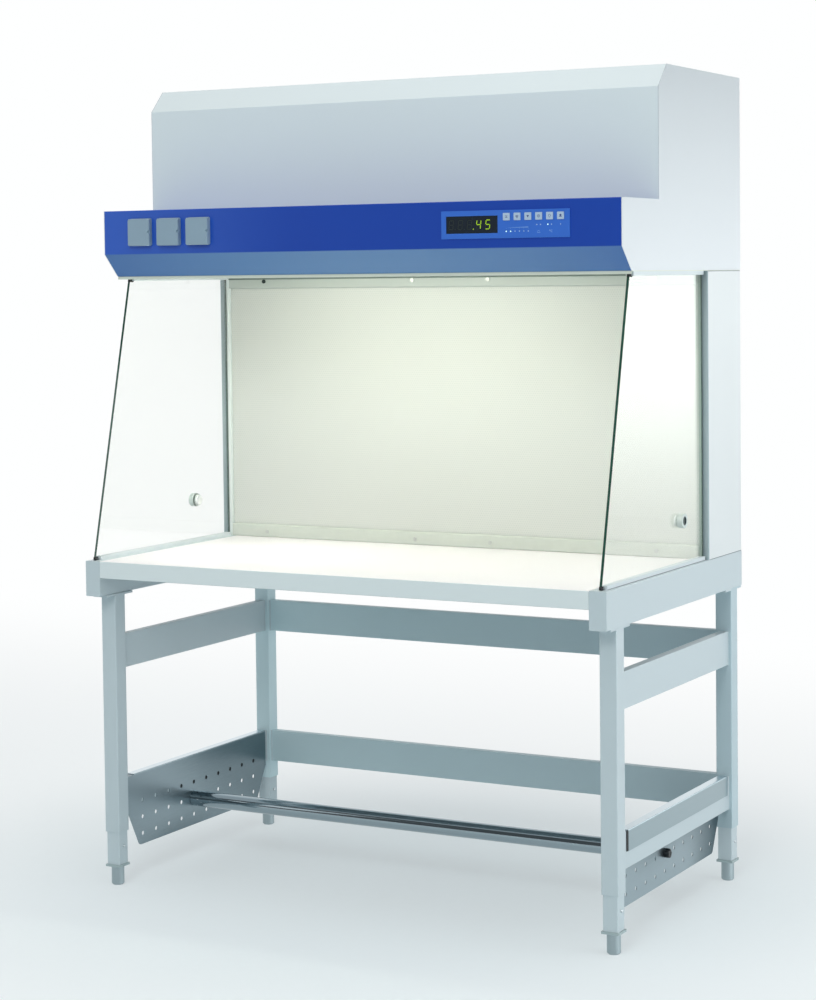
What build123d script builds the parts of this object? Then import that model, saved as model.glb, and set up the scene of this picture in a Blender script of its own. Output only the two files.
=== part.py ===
"""Laminar flow hood on its stand: a horizontal clean bench that blows filtered air over a worktop.

All sizes are in millimetres. X runs along the width, Y from the open front to the back and Z up.
The origin lies on the floor, under the middle of the overall width and depth.
"""

from build123d import *
import math
import os

# ---------------------------------------------------------------- overall sizes
overall_width = 1330.0
overall_depth = 785.0
work_height = 780.0
chamber_height = 663.0
housing_height = 449.0

half_width = overall_width / 2
front_y = -overall_depth / 2
back_y = overall_depth / 2
cut_overrun = 1.0
seam_z = work_height + chamber_height
top_z = seam_z + housing_height

# ---------------------------------------------------------------- worktop and rails
rail_width = 40.0
rail_height = 83.0
rail_wall = 2.5
board_thickness = 40.0
board_end_gap = 0.4
board_edge_radius = 2.0
cleat_width = 18.0
cleat_thickness = 3.0

rail_inner_x = half_width - rail_width
rail_bottom_z = work_height - rail_height
board_bottom_z = work_height - board_thickness
board_half = rail_inner_x - board_end_gap

# ---------------------------------------------------------------- stand
leg_size = 40.0
leg_wall = 2.0
leg_inset = 2.0
leg_corner_radius = 2.5
front_leg_setback = 55.0
rear_leg_setback = 24.0
outer_leg_bottom_z = 128.0
leg_plate_length = 100.0
leg_plate_thickness = 5.0
bar_height = 80.0
bar_thickness = 20.0
bar_wall = 1.5
bar_edge_radius = 1.0
upper_bar_z = 515.0
lower_bar_z = 172.0

leg_outer_x = half_width - leg_inset
leg_inner_x = leg_outer_x - leg_size
leg_centre_x = leg_outer_x - leg_size / 2
front_leg_y = front_y + front_leg_setback + leg_size / 2
rear_leg_y = back_y - rear_leg_setback - leg_size / 2
leg_top_z = rail_bottom_z - leg_plate_thickness
bar_inner_x = leg_centre_x - bar_thickness / 2
bar_outer_x = leg_centre_x + bar_thickness / 2
bar_front_y = front_leg_y + leg_size / 2
bar_rear_y = rear_leg_y - leg_size / 2

# Telescopic inner legs and levelling feet
inner_leg_clearance = 0.4
inner_leg_wall = 2.0
inner_leg_length = 370.0
foot_plate_size = 42.0
foot_plate_thickness = 5.0
foot_height = 45.0
foot_radius = 15.0
foot_chamfer = 3.0
spindle_radius = 6.0
spindle_length = 60.0
running_clearance = 0.06
insert_hole_radius = 3.5
insert_hole_rise = 43.0

inner_leg_size = leg_size - 2 * leg_wall - 2 * inner_leg_clearance
inner_leg_bottom_z = foot_height + foot_plate_thickness

# Screws that lock the telescopic legs
lock_screw_radius = 4.0
lock_screw_rise = 22.0
lock_head_radius = 6.5
lock_head_height = 5.3
lock_tip_gap = 0.3
hole_clearance = 0.25

# ---------------------------------------------------------------- footrest
hook_sheet = 2.0
hook_bend_radius = 0.8
hook_flange_height = 44.0
hook_flange_front_gap = 34.0
hook_end_gap = 9.0
hook_drop = 94.0
hook_straight_drop = 8.0
hook_taper = 44.0
hook_corner_radius = 12.0
peg_hole_radius = 5.0
peg_end_margin = 50.0
peg_rows = 3
peg_column_pitch = 54.5
peg_row_pitch = 40.5
peg_top_row_depth = 67.0
rest_column = 4
rest_row = 1
rest_tube_radius = 16.0
rest_tube_wall = 1.5
rest_plug_length = 14.0
rest_stud_radius = 4.0
rest_stud_depth = 11.0
knob_radius = 17.0
knob_thickness = 13.0
knob_gap = 0.3
knob_lobes = 5
knob_scallop_radius = 7.0
knob_scallop_reach = 4.0

bar_top_z = lower_bar_z + bar_height
hook_outline_front = bar_front_y + hook_end_gap
hook_outline_rear = bar_rear_y - hook_end_gap
hook_middle_y = (hook_outline_front + hook_outline_rear) / 2
hook_bottom_z = lower_bar_z - hook_drop
hook_face_x = bar_inner_x - hook_sheet
peg_room = hook_outline_rear - hook_outline_front - 2 * peg_end_margin
peg_columns = int(peg_room // peg_column_pitch) + 1
first_column_y = hook_middle_y - peg_column_pitch * (peg_columns - 1) / 2
top_row_z = bar_top_z - peg_top_row_depth
rest_y = first_column_y + rest_column * peg_column_pitch
rest_z = top_row_z - rest_row * peg_row_pitch

# ---------------------------------------------------------------- side glasses
glass_thickness = 6.0
glass_inset = 15.0
glass_top_setback = 168.0
glass_foot_setback = 11.0
glass_rear_gap = 3.0
glass_fit = 0.3
channel_width = 18.0
channel_height = 9.0
channel_floor = 2.0
channel_front_gap = 14.0
channel_top_trim = 6.0
seal_depth = 4.2

glass_outer_x = half_width - glass_inset
glass_inner_x = glass_outer_x - glass_thickness
glass_centre_x = glass_outer_x - glass_thickness / 2

# Cable ports through the glasses
port_height = 104.0
port_setback = 436.0
port_hole_radius = 12.2
port_neck_radius = 12.0
port_bore_radius = 8.0
port_collar_radius = 16.5
port_collar_length = 13.0
port_inner_collar_radius = 14.0
port_inner_collar_length = 2.5
plug_radius = 7.94
plug_head_radius = 12.0
plug_head_length = 5.0
plug_length = 16.0
plug_hollow_radius = 5.5
plug_hollow_depth = 12.0

port_y = front_y + port_setback
port_z = work_height + port_height

# ---------------------------------------------------------------- housing sheets
sheet = 1.5
bend_radius = 3.0
tight_bend_radius = 2.0
case_depth = 207.0
case_return = 15.0
housing_setback = 295.0
hood_bevel_run = 48.0
hood_bevel_drop = 51.0
lamp_box_setback = 95.0
fascia_height = 102.0
fascia_bevel_height = 52.0
fascia_bevel_run = 50.0
fascia_return = 14.0
fascia_top_lap = 12.0
ceiling_lip = 5.5
plenum_slot_end = 63.5
plenum_slot_margin = 14.0

case_front_y = back_y - case_depth
hood_front_y = front_y + housing_setback
lamp_box_y = front_y + lamp_box_setback
fascia_z = seam_z + fascia_bevel_height
lamp_box_top_z = fascia_z + fascia_height
fascia_foot_y = lamp_box_y + fascia_bevel_run
ceiling_z = seam_z - sheet
inside_half = half_width - sheet
plenum_slot_half = inside_half - plenum_slot_end

# ---------------------------------------------------------------- diffuser and filter
post_width = 8.0
post_depth = 20.0
grille_sheet = 1.2
grille_side_gap = 0.5
grille_band = 31.0
grille_step = 9.5
grille_seat_gap = 0.3
grille_screw_radius = 2.5
grille_screw_length = 9.0
grille_head_radius = 5.0
grille_head_height = 2.6
grille_screw_inset = 14.5
grille_screw_end = 105.5
grille_screw_spread = 103.0
filter_depth = 78.0
filter_border = 20.0
filter_side_gap = 4.0
filter_top_gap = 1.0
pleat_pitch = 24.8
pleat_margin = 6.0
pleat_media = 3.0

post_outer_x = glass_inner_x
post_inner_x = post_outer_x - post_width
post_front_y = case_front_y + sheet
grille_half = post_inner_x - grille_side_gap
grille_front_y = post_front_y + grille_seat_gap
filter_front_y = post_front_y + post_depth
filter_rear_y = filter_front_y + filter_depth
filter_half = post_outer_x - filter_side_gap
grille_screw_outer_x = grille_half - grille_screw_end

# ---------------------------------------------------------------- fan and intake
duct_half = 280.0
duct_front_gap = 67.5
duct_depth = 360.0
duct_floor_depth = 92.0
duct_flange = 12.0
intake_margin = 20.0
prefilter_depth = 20.0
prefilter_border = 15.0
prefilter_mat = 8.0
prefilter_drop = 8.0
prefilter_side_gap = 1.0
ledge_width = 12.0
nozzle_mouth_radius = 128.0
nozzle_throat_radius = 94.0
nozzle_length = 44.0
nozzle_straight = 10.0
impeller_radius = 150.0
impeller_eye_radius = 99.0
impeller_height = 92.0
impeller_shroud_drop = 16.0
impeller_sheet = 2.0
impeller_blades = 7
blade_inner_radius = 84.0
blade_sweep = 46.0
blade_bow = 11.0
blade_eye_gap = 3.0
shroud_bow = 4.0
eye_overlap = 6.0
hub_radius = 24.0
hub_height = 36.0
shaft_radius = 8.0
shaft_stand_out = 40.0
motor_radius = 55.0
motor_height = 70.0
motor_gap = 18.0
spider_width = 26.0
spider_strap = 4.0
spider_radius = 184.0

duct_front_y = hood_front_y + duct_front_gap
duct_rear_y = duct_front_y + duct_depth
duct_centre_y = duct_front_y + duct_depth / 2
duct_floor_z = top_z - sheet - duct_floor_depth
nozzle_foot_z = duct_floor_z - nozzle_length
shroud_top_z = nozzle_foot_z + eye_overlap
impeller_base_z = shroud_top_z - impeller_shroud_drop - impeller_height
motor_top_z = impeller_base_z - motor_gap
motor_base_z = motor_top_z - motor_height

# ---------------------------------------------------------------- lamp
tube_radius = 13.0
tube_end_setback = 73.5
tray_front_gap = 1.0
tube_rise = 26.0
cap_length = 14.0
pin_radius = 1.2
pin_length = 7.0
pin_spacing = 12.7
tray_half_width = 48.0
tray_roof_half = 22.0
tray_height = 48.0
tray_flange = 10.0
tray_end_thickness = 6.0
tray_end_gap = 0.4
window_half_width = 40.0

tube_y = fascia_foot_y + fascia_return + tray_front_gap + tray_flange + tray_half_width
tube_z = seam_z + tube_rise
tube_half_length = inside_half - tube_end_setback

# ---------------------------------------------------------------- controls
panel_centre_x = 391.9
panel_width = 307.8
panel_height = 60.6
panel_thickness = 2.0
panel_corner_radius = 1.5
panel_clearance = 0.15
control_rise = 50.8
window_left_inset = 12.0
window_width = 125.0
window_height = 37.2
window_drop = 0.6
window_thickness = 1.8
key_size = 16.0
key_count = 6
key_pitch = 25.6
key_first_inset = 158.6
key_rise = 15.7
key_proud = 1.4
key_flange = 1.3
key_flange_thickness = 1.0
key_travel = 0.8
key_corner_radius = 1.5
switch_gap = 0.25
switch_size = 6.0
cutout_margin = 3.4
circuit_depth = 11.0
circuit_thickness = 1.6
spacer_radius = 3.0
spacer_inset = 3.5
circuit_margin = 5.0

panel_left_x = panel_centre_x - panel_width / 2
window_x = panel_left_x + window_left_inset + window_width / 2
control_z = fascia_z + control_rise
panel_front_y = lamp_box_y - panel_thickness
key_z = control_z + key_rise
circuit_y = lamp_box_y + circuit_depth

# Covered sockets on the fascia
socket_first_x = -558.3
socket_pitch = 81.4
socket_count = 3
socket_width = 60.6
socket_height = 64.0
socket_plate = 3.0
socket_corner_radius = 4.0
socket_well_radius = 19.6
socket_well_depth = 17.0
socket_well_wall = 2.4
socket_fit = 0.3
lid_gap = 0.5
lid_thickness = 10.0
lid_edge_radius = 2.5
hinge_pin_radius = 1.5
hinge_barrel_radius = 3.4
hinge_ear_width = 4.0
hinge_ear_gap = 0.3
hinge_drop = 4.6
lid_notch_width = 8.0
lid_notch_depth = 3.0

hinge_y = lamp_box_y - socket_plate - lid_gap - hinge_barrel_radius
hinge_z = control_z + socket_height / 2 - hinge_drop

# Mains inlet in the back panel
inlet_x = 520.0
inlet_rise = 120.0
inlet_width = 48.0
inlet_height = 28.0
inlet_depth = 26.0
inlet_well_width = 24.5
inlet_well_height = 16.5
inlet_well_depth = 17.0
inlet_flange = 5.0
inlet_wall_fit = 0.2
inlet_blade_length = 10.0
inlet_blade_thickness = 2.0
inlet_blade_height = 4.0
inlet_blade_pitch = 7.0
inlet_middle_blade_rise = 2.0
inlet_outer_blade_rise = -1.0

inlet_z = seam_z + inlet_rise


# ---------------------------------------------------------------- helpers
def block(low, high):
    """A rectangular block between its lowest and its highest corner."""
    size = [top - bottom for bottom, top in zip(low, high)]
    centre = [(top + bottom) / 2 for bottom, top in zip(low, high)]
    return Pos(*centre) * Box(*size)


def hollow_bar(low, high, wall, along, radius):
    """A rectangular tube open at both ends, with its long edges rounded."""
    outer = block(low, high)
    outer = fillet(outer.edges().filter_by(along), radius)
    keep = {Axis.X: 0, Axis.Y: 1, Axis.Z: 2}[along]
    inner_low = [value if index == keep else value + wall for index, value in enumerate(low)]
    inner_high = [value if index == keep else value - wall for index, value in enumerate(high)]
    return outer - block(inner_low, inner_high)


def rod(radius, start, end):
    """A round bar between two points."""
    axis = Vector(*end) - Vector(*start)
    return Plane(origin=start, z_dir=axis) * Cylinder(
        radius, axis.length, align=(Align.CENTER, Align.CENTER, Align.MIN)
    )


def drill(radius, start, end):
    """A round cutter between two points that runs past both of them."""
    overrun = (Vector(*end) - Vector(*start)).normalized() * cut_overrun
    return rod(radius, Vector(*start) - overrun, Vector(*end) + overrun)


def folded_sheet(path, thickness, side, plane, half_length, radius):
    """A sheet folded along a path, with true bends, as long each way from the middle plane."""
    spine = FilletPolyline(*path, radius=radius)
    outline = offset(spine, amount=thickness, side=side, kind=Kind.ARC)
    return extrude(plane * make_face(outline), amount=half_length, both=True)


def plate(outline, low_x, thickness):
    """A flat plate upright in the YZ plane, with its lower face at low_x."""
    return extrude(Plane.YZ.offset(low_x) * make_face(Polyline(*outline, close=True)), amount=thickness)


def mirrored(shape):
    """The left-hand piece of a right-hand one."""
    return mirror(shape, about=Plane.YZ)


parts = {}


def keep(name, shape):
    """Files a finished piece under its name."""
    parts[name] = shape


def keep_pair(name, shape):
    """Files a right-hand piece and its left-hand twin."""
    keep(name + "_right", shape)
    keep(name + "_left", mirrored(shape))


# ---------------------------------------------------------------- stand
def outer_leg(centre_y):
    """A square outer leg with its top plate and the hole for its lock screw."""
    low = (leg_inner_x, centre_y - leg_size / 2, outer_leg_bottom_z)
    high = (leg_outer_x, centre_y + leg_size / 2, leg_top_z)
    tube = hollow_bar(low, high, leg_wall, Axis.Z, leg_corner_radius)
    top = block(
        (leg_inner_x, centre_y - leg_plate_length / 2 + leg_plate_offset(centre_y), leg_top_z),
        (leg_outer_x, centre_y + leg_plate_length / 2 + leg_plate_offset(centre_y), rail_bottom_z),
    )
    screw_z = outer_leg_bottom_z + lock_screw_rise
    hole = rod(
        lock_screw_radius + hole_clearance,
        (leg_centre_x, centre_y + leg_size / 2 - 2 * leg_wall, screw_z),
        (leg_centre_x, centre_y + leg_size / 2 + leg_wall, screw_z),
    )
    return tube + top - hole


def leg_plate_offset(centre_y):
    """How far a top plate is shifted so that it stays under the rail at the back."""
    overhang = centre_y + leg_plate_length / 2 - back_y
    return -max(overhang, 0.0)


def side_bar(bottom_z):
    """A flat crossbar between the front and the rear leg of one side."""
    low = (bar_inner_x, bar_front_y, bottom_z)
    high = (bar_outer_x, bar_rear_y, bottom_z + bar_height)
    return hollow_bar(low, high, bar_wall, Axis.Y, bar_edge_radius)


def side_frame():
    """Two legs and two crossbars welded into one frame."""
    return outer_leg(front_leg_y) + outer_leg(rear_leg_y) + side_bar(upper_bar_z) + side_bar(lower_bar_z)


def rear_bar(bottom_z):
    """A flat crossbar between the two rear legs."""
    low = (-leg_inner_x, rear_leg_y - bar_thickness / 2, bottom_z)
    high = (leg_inner_x, rear_leg_y + bar_thickness / 2, bottom_z + bar_height)
    return hollow_bar(low, high, bar_wall, Axis.X, bar_edge_radius)


def inner_leg(centre_x, centre_y):
    """The sliding leg: a square tube on a plate that is tapped for the foot."""
    half = inner_leg_size / 2
    tube = hollow_bar(
        (centre_x - half, centre_y - half, inner_leg_bottom_z),
        (centre_x + half, centre_y + half, inner_leg_bottom_z + inner_leg_length),
        inner_leg_wall,
        Axis.Z,
        leg_corner_radius,
    )
    base = Pos(centre_x, centre_y, foot_height + foot_plate_thickness / 2) * Box(
        foot_plate_size, foot_plate_size, foot_plate_thickness
    )
    base = fillet(base.edges().filter_by(Axis.Z), leg_corner_radius)
    bore = drill(
        spindle_radius + running_clearance,
        (centre_x, centre_y, foot_height),
        (centre_x, centre_y, inner_leg_bottom_z),
    )
    hole_z = inner_leg_bottom_z + insert_hole_rise
    hole = drill(insert_hole_radius, (centre_x - half, centre_y, hole_z), (centre_x + half, centre_y, hole_z))
    return tube + base - bore - hole


def foot(centre_x, centre_y):
    """A round levelling foot with its spindle."""
    pad = rod(foot_radius, (centre_x, centre_y, 0), (centre_x, centre_y, foot_height))
    pad = chamfer(pad.edges().sort_by(Axis.Z)[0], foot_chamfer)
    spindle_top = foot_height + spindle_length
    return pad + rod(spindle_radius, (centre_x, centre_y, foot_height), (centre_x, centre_y, spindle_top))


def lock_screw(centre_x, centre_y):
    """A hexagon-headed screw through the rear wall of an outer leg."""
    screw_z = outer_leg_bottom_z + lock_screw_rise
    wall_y = centre_y + leg_size / 2
    tip_y = centre_y + inner_leg_size / 2 + lock_tip_gap
    shank = rod(lock_screw_radius, (centre_x, tip_y, screw_z), (centre_x, wall_y, screw_z))
    head_plane = Plane(origin=(centre_x, wall_y, screw_z), z_dir=(0, 1, 0))
    head = extrude(head_plane * RegularPolygon(lock_head_radius, 6), amount=lock_head_height)
    return shank + head


leg_places = {
    "front_left": (-leg_centre_x, front_leg_y),
    "front_right": (leg_centre_x, front_leg_y),
    "rear_left": (-leg_centre_x, rear_leg_y),
    "rear_right": (leg_centre_x, rear_leg_y),
}


# ---------------------------------------------------------------- footrest
def hook_plate():
    """A perforated plate that hangs over the lower crossbar of the right side."""
    wall_outline = Polyline(
        (hook_outline_front, bar_top_z - hook_bend_radius),
        (hook_outline_front, lower_bar_z - hook_straight_drop),
        (hook_outline_front + hook_taper, hook_bottom_z),
        (hook_outline_rear - hook_taper, hook_bottom_z),
        (hook_outline_rear, lower_bar_z - hook_straight_drop),
        (hook_outline_rear, bar_top_z - hook_bend_radius),
        close=True,
    )
    wall = extrude(Plane.YZ.offset(hook_face_x) * make_face(wall_outline), amount=hook_sheet)
    low_corners = wall.edges().filter_by(Axis.X).group_by(Axis.Z)[0]
    wall = fillet(low_corners, hook_corner_radius)
    flange_front = bar_front_y + hook_flange_front_gap
    flange_half = (hook_outline_rear - flange_front) / 2
    path = [
        (hook_face_x, bar_top_z - hook_flange_height),
        (hook_face_x, bar_top_z + hook_sheet),
        (bar_outer_x + hook_sheet, bar_top_z + hook_sheet),
        (bar_outer_x + hook_sheet, bar_top_z - hook_flange_height),
    ]
    outer_radius = hook_sheet + hook_bend_radius
    hook_plane = Plane(origin=(0, flange_front + flange_half, 0), x_dir=(1, 0, 0), z_dir=(0, -1, 0))
    hook = folded_sheet(path, hook_sheet, Side.RIGHT, hook_plane, flange_half, outer_radius)
    return wall + hook - peg_holes()


def peg_holes():
    """The grid of holes that takes the footrest at a chosen place."""
    drills = []
    for column in range(peg_columns):
        for row in range(peg_rows):
            hole_y = first_column_y + column * peg_column_pitch
            hole_z = top_row_z - row * peg_row_pitch
            inner_end = (hook_face_x, hole_y, hole_z)
            outer_end = (hook_face_x + hook_sheet, hole_y, hole_z)
            drills.append(drill(peg_hole_radius, inner_end, outer_end))
    return drills


def rest_tube():
    """The footrest bar: a round tube closed by a tapped plug at each end."""
    half = hook_face_x
    tube = rod(rest_tube_radius, (-half, rest_y, rest_z), (half, rest_y, rest_z))
    hollow = half - rest_plug_length
    tube -= rod(rest_tube_radius - rest_tube_wall, (-hollow, rest_y, rest_z), (hollow, rest_y, rest_z))
    for side in (-1, 1):
        tube -= drill(
            rest_stud_radius + running_clearance,
            (side * (half - rest_plug_length), rest_y, rest_z),
            (side * half, rest_y, rest_z),
        )
    return tube


def rest_knob():
    """A scalloped hand knob on a stud that clamps the footrest to the right plate."""
    face_x = hook_face_x + hook_sheet + knob_gap
    knob_plane = Plane(origin=(face_x, rest_y, rest_z), z_dir=(1, 0, 0))
    scallops = PolarLocations(knob_radius + knob_scallop_reach, knob_lobes) * Circle(knob_scallop_radius)
    grip = extrude(knob_plane * (Circle(knob_radius) - scallops), amount=knob_thickness)
    stud_end = hook_face_x - rest_stud_depth
    return grip + rod(rest_stud_radius, (stud_end, rest_y, rest_z), (face_x, rest_y, rest_z))


# ---------------------------------------------------------------- worktop
def side_rail():
    """A box rail along one side, closed at the front, with a cleat that carries the board."""
    rail = block((rail_inner_x, front_y, rail_bottom_z), (half_width, back_y, work_height))
    rail = fillet(rail.edges().filter_by(Axis.Y), board_edge_radius)
    rail -= block(
        (rail_inner_x + rail_wall, front_y + rail_wall, rail_bottom_z + rail_wall),
        (half_width - rail_wall, back_y, work_height - rail_wall),
    )
    cleat = block(
        (rail_inner_x - cleat_width, front_y + front_leg_setback, board_bottom_z - cleat_thickness),
        (rail_inner_x, back_y, board_bottom_z),
    )
    return rail + cleat


def work_surface():
    """The laminated board between the rails."""
    board = block((-board_half, front_y, board_bottom_z), (board_half, back_y, work_height))
    front_edges = board.edges().filter_by(Axis.X).group_by(Axis.Y)[0]
    return fillet(front_edges, board_edge_radius)


# ---------------------------------------------------------------- side glasses
def side_glass():
    """A toughened pane whose front edge leans back towards the top."""
    outline = [
        (front_y + glass_foot_setback, work_height + channel_floor),
        (front_y + glass_top_setback, ceiling_z - channel_floor - glass_fit),
        (case_front_y - glass_rear_gap, ceiling_z - channel_floor - glass_fit),
        (case_front_y - glass_rear_gap, work_height + channel_floor),
    ]
    pane = plate(outline, glass_inner_x, glass_thickness)
    return pane - drill(port_hole_radius, (glass_inner_x, port_y, port_z), (glass_outer_x, port_y, port_z))


def glass_channel(front, bottom_z, slot_up):
    """A U-shaped edge channel with its slot facing up or down."""
    low_x = glass_centre_x - channel_width / 2
    high_x = glass_centre_x + channel_width / 2
    rear = case_front_y - glass_rear_gap
    bar = block((low_x, front, bottom_z), (high_x, rear, bottom_z + channel_height))
    slot_low = bottom_z + channel_floor
    slot_high = bottom_z + channel_height + cut_overrun
    if not slot_up:
        slot_low = bottom_z - cut_overrun
        slot_high = bottom_z + channel_height - channel_floor
    slot = block(
        (glass_inner_x - glass_fit, front - cut_overrun, slot_low),
        (glass_outer_x + glass_fit, rear + cut_overrun, slot_high),
    )
    return bar - slot


def glass_channels():
    """The four edge channels: below and above each glass."""
    lower = glass_channel(front_y + glass_foot_setback + channel_front_gap, work_height, True)
    upper = glass_channel(front_y + glass_top_setback + channel_top_trim, ceiling_z - channel_height, False)
    return Compound([lower, upper, mirrored(lower), mirrored(upper)])


def glass_seals():
    """Rubber strips between the rear edge of each glass and the case."""
    strip = block(
        (glass_inner_x, case_front_y - glass_rear_gap + glass_fit, work_height),
        (glass_outer_x, case_front_y - glass_rear_gap + glass_fit + seal_depth, ceiling_z),
    )
    return Compound([strip, mirrored(strip)])


def port_grommets():
    """A collared bushing in the port of each glass."""
    collar_end = (glass_outer_x + port_collar_length, port_y, port_z)
    collar = rod(port_collar_radius, (glass_outer_x, port_y, port_z), collar_end)
    neck = rod(port_neck_radius, (glass_inner_x, port_y, port_z), (glass_outer_x, port_y, port_z))
    inner = rod(
        port_inner_collar_radius,
        (glass_inner_x - port_inner_collar_length, port_y, port_z),
        (glass_inner_x, port_y, port_z),
    )
    bore = drill(
        port_bore_radius,
        (glass_inner_x - port_inner_collar_length, port_y, port_z),
        (glass_outer_x + port_collar_length, port_y, port_z),
    )
    grommet = collar + neck + inner - bore
    return Compound([grommet, mirrored(grommet)])


def port_plug():
    """The plug that closes a port from inside the chamber, hollow towards the outside."""
    seat_x = glass_inner_x - port_inner_collar_length
    head = rod(plug_head_radius, (seat_x - plug_head_length, port_y, port_z), (seat_x, port_y, port_z))
    head = fillet(head.edges().sort_by(Axis.X)[0], plug_head_length / 3)
    body = rod(plug_radius, (seat_x, port_y, port_z), (seat_x + plug_length, port_y, port_z))
    hollow = rod(
        plug_hollow_radius,
        (seat_x + plug_length - plug_hollow_depth, port_y, port_z),
        (seat_x + plug_length + cut_overrun, port_y, port_z),
    )
    return head + body - hollow


# ---------------------------------------------------------------- case, posts and filter
def plenum_case():
    """The folded case round the filter: two sides, the back and narrow front returns."""
    path = [
        (-half_width + case_return, case_front_y),
        (-half_width, case_front_y),
        (-half_width, back_y),
        (half_width, back_y),
        (half_width, case_front_y),
        (half_width - case_return, case_front_y),
    ]
    case_height = ceiling_z - work_height
    middle = Plane.XY.offset(work_height + case_height / 2)
    return folded_sheet(path, sheet, Side.RIGHT, middle, case_height / 2, bend_radius)


def chamber_posts():
    """Channel-section posts that frame the diffuser on both sides."""
    post = block(
        (post_inner_x, post_front_y, work_height),
        (post_outer_x, filter_front_y, ceiling_z),
    )
    post -= block(
        (post_inner_x + sheet, post_front_y + sheet, work_height),
        (post_outer_x - sheet, filter_front_y, ceiling_z),
    )
    return Compound([post, mirrored(post)])


def diffuser_grille():
    """The outlet plate: a shallow tray with flat fixing bands along its top and bottom."""
    low_z = work_height + grille_seat_gap
    high_z = ceiling_z - grille_seat_gap
    path = [
        (filter_front_y, low_z),
        (grille_front_y, low_z),
        (grille_front_y, low_z + grille_band),
        (grille_front_y + grille_step, low_z + grille_band),
        (grille_front_y + grille_step, high_z - grille_band),
        (grille_front_y, high_z - grille_band),
        (grille_front_y, high_z),
        (filter_front_y, high_z),
    ]
    tray = folded_sheet(path, grille_sheet, Side.RIGHT, Plane.YZ, grille_half, 2 * grille_sheet)
    for place_x, place_z in grille_screw_places():
        front = (place_x, grille_front_y, place_z)
        rear = (place_x, grille_front_y + grille_sheet, place_z)
        tray -= drill(grille_screw_radius + hole_clearance, front, rear)
    return tray


def grille_screw_places():
    """Where the screws of the diffuser sit, in two rows of four."""
    rows = (work_height + grille_screw_inset, ceiling_z - grille_screw_inset)
    columns = (-grille_screw_outer_x, -grille_screw_spread, grille_screw_spread, grille_screw_outer_x)
    return [(place_x, place_z) for place_z in rows for place_x in columns]


def grille_screw(place_x, place_z):
    """A round-headed screw in a fixing band of the diffuser."""
    crown = (place_x, grille_front_y - grille_head_height, place_z)
    seat = (place_x, grille_front_y, place_z)
    tail = (place_x, grille_front_y + grille_screw_length, place_z)
    return rod(grille_screw_radius, seat, tail) + rod(grille_head_radius, crown, seat)


def filter_frame():
    """The frame of the fine filter."""
    low_z = work_height
    high_z = ceiling_z - filter_top_gap
    frame = block((-filter_half, filter_front_y, low_z), (filter_half, filter_rear_y, high_z))
    return frame - block(
        (-filter_half + filter_border, filter_front_y - cut_overrun, low_z + filter_border),
        (filter_half - filter_border, filter_rear_y + cut_overrun, high_z - filter_border),
    )


def filter_pleats():
    """The filter medium, folded to and fro across the width of its frame."""
    half = filter_half - filter_border
    folds = 2 * round(half / pleat_pitch)
    near_y = filter_front_y + pleat_margin
    far_y = filter_rear_y - pleat_margin - pleat_media
    front_line = []
    for fold in range(2 * folds + 1):
        fold_x = -half + fold * half / folds
        front_line.append((fold_x, near_y if fold % 2 == 0 else far_y))
    rear_line = [(fold_x, fold_y + pleat_media) for fold_x, fold_y in reversed(front_line)]
    outline = Polyline(*front_line, *rear_line, close=True)
    low_z = work_height + filter_border
    high_z = ceiling_z - filter_top_gap - filter_border
    return extrude(Plane.XY.offset(low_z) * make_face(outline), amount=high_z - low_z)


# ---------------------------------------------------------------- housing
def hood_shell():
    """The folded front, bevel and top of the housing, with the air intake cut in the top."""
    path = [
        (hood_front_y, lamp_box_top_z),
        (hood_front_y, top_z - hood_bevel_drop),
        (hood_front_y + hood_bevel_run, top_z),
        (back_y, top_z),
    ]
    shell = folded_sheet(path, sheet, Side.RIGHT, Plane.YZ, inside_half, bend_radius)
    return shell - duct_block(intake_margin, top_z - 2 * sheet, top_z + sheet)


def cheek():
    """The flat side of the housing, which also closes the end of the lamp box."""
    outline = [
        (back_y, seam_z),
        (fascia_foot_y, seam_z),
        (lamp_box_y, fascia_z),
        (lamp_box_y, lamp_box_top_z),
        (hood_front_y, lamp_box_top_z),
        (hood_front_y, top_z - hood_bevel_drop),
        (hood_front_y + hood_bevel_run, top_z),
        (back_y, top_z),
    ]
    return plate(outline, inside_half, sheet)


def back_panel():
    """The removable back of the housing, with the opening for the mains inlet."""
    panel = block((-inside_half, back_y - sheet, seam_z), (inside_half, back_y, top_z - sheet))
    half_wide = inlet_width / 2 + inlet_wall_fit
    half_tall = inlet_height / 2 + inlet_wall_fit
    return panel - block(
        (inlet_x - half_wide, back_y - 2 * sheet, inlet_z - half_tall),
        (inlet_x + half_wide, back_y + sheet, inlet_z + half_tall),
    )


def mains_inlet():
    """A flush appliance inlet with its three contact blades."""
    body = inlet_block(inlet_width, inlet_height, back_y - inlet_depth, back_y)
    flange_width = inlet_width + 2 * inlet_flange
    flange_height = inlet_height + 2 * inlet_flange
    body += inlet_block(flange_width, flange_height, back_y - 2 * sheet, back_y - sheet)
    well_floor = back_y - inlet_well_depth
    body -= inlet_block(inlet_well_width, inlet_well_height, well_floor, back_y + cut_overrun)
    blade_centre_y = well_floor + inlet_blade_length / 2
    rises = (inlet_outer_blade_rise, inlet_middle_blade_rise, inlet_outer_blade_rise)
    for place, rise in zip((-1, 0, 1), rises):
        blade = Box(inlet_blade_thickness, inlet_blade_length, inlet_blade_height)
        body += Pos(inlet_x + place * inlet_blade_pitch, blade_centre_y, inlet_z + rise) * blade
    return body


def inlet_block(width, height, near_y, far_y):
    """A block centred on the mains inlet, between two depths."""
    return block(
        (inlet_x - width / 2, near_y, inlet_z - height / 2),
        (inlet_x + width / 2, far_y, inlet_z + height / 2),
    )


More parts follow.
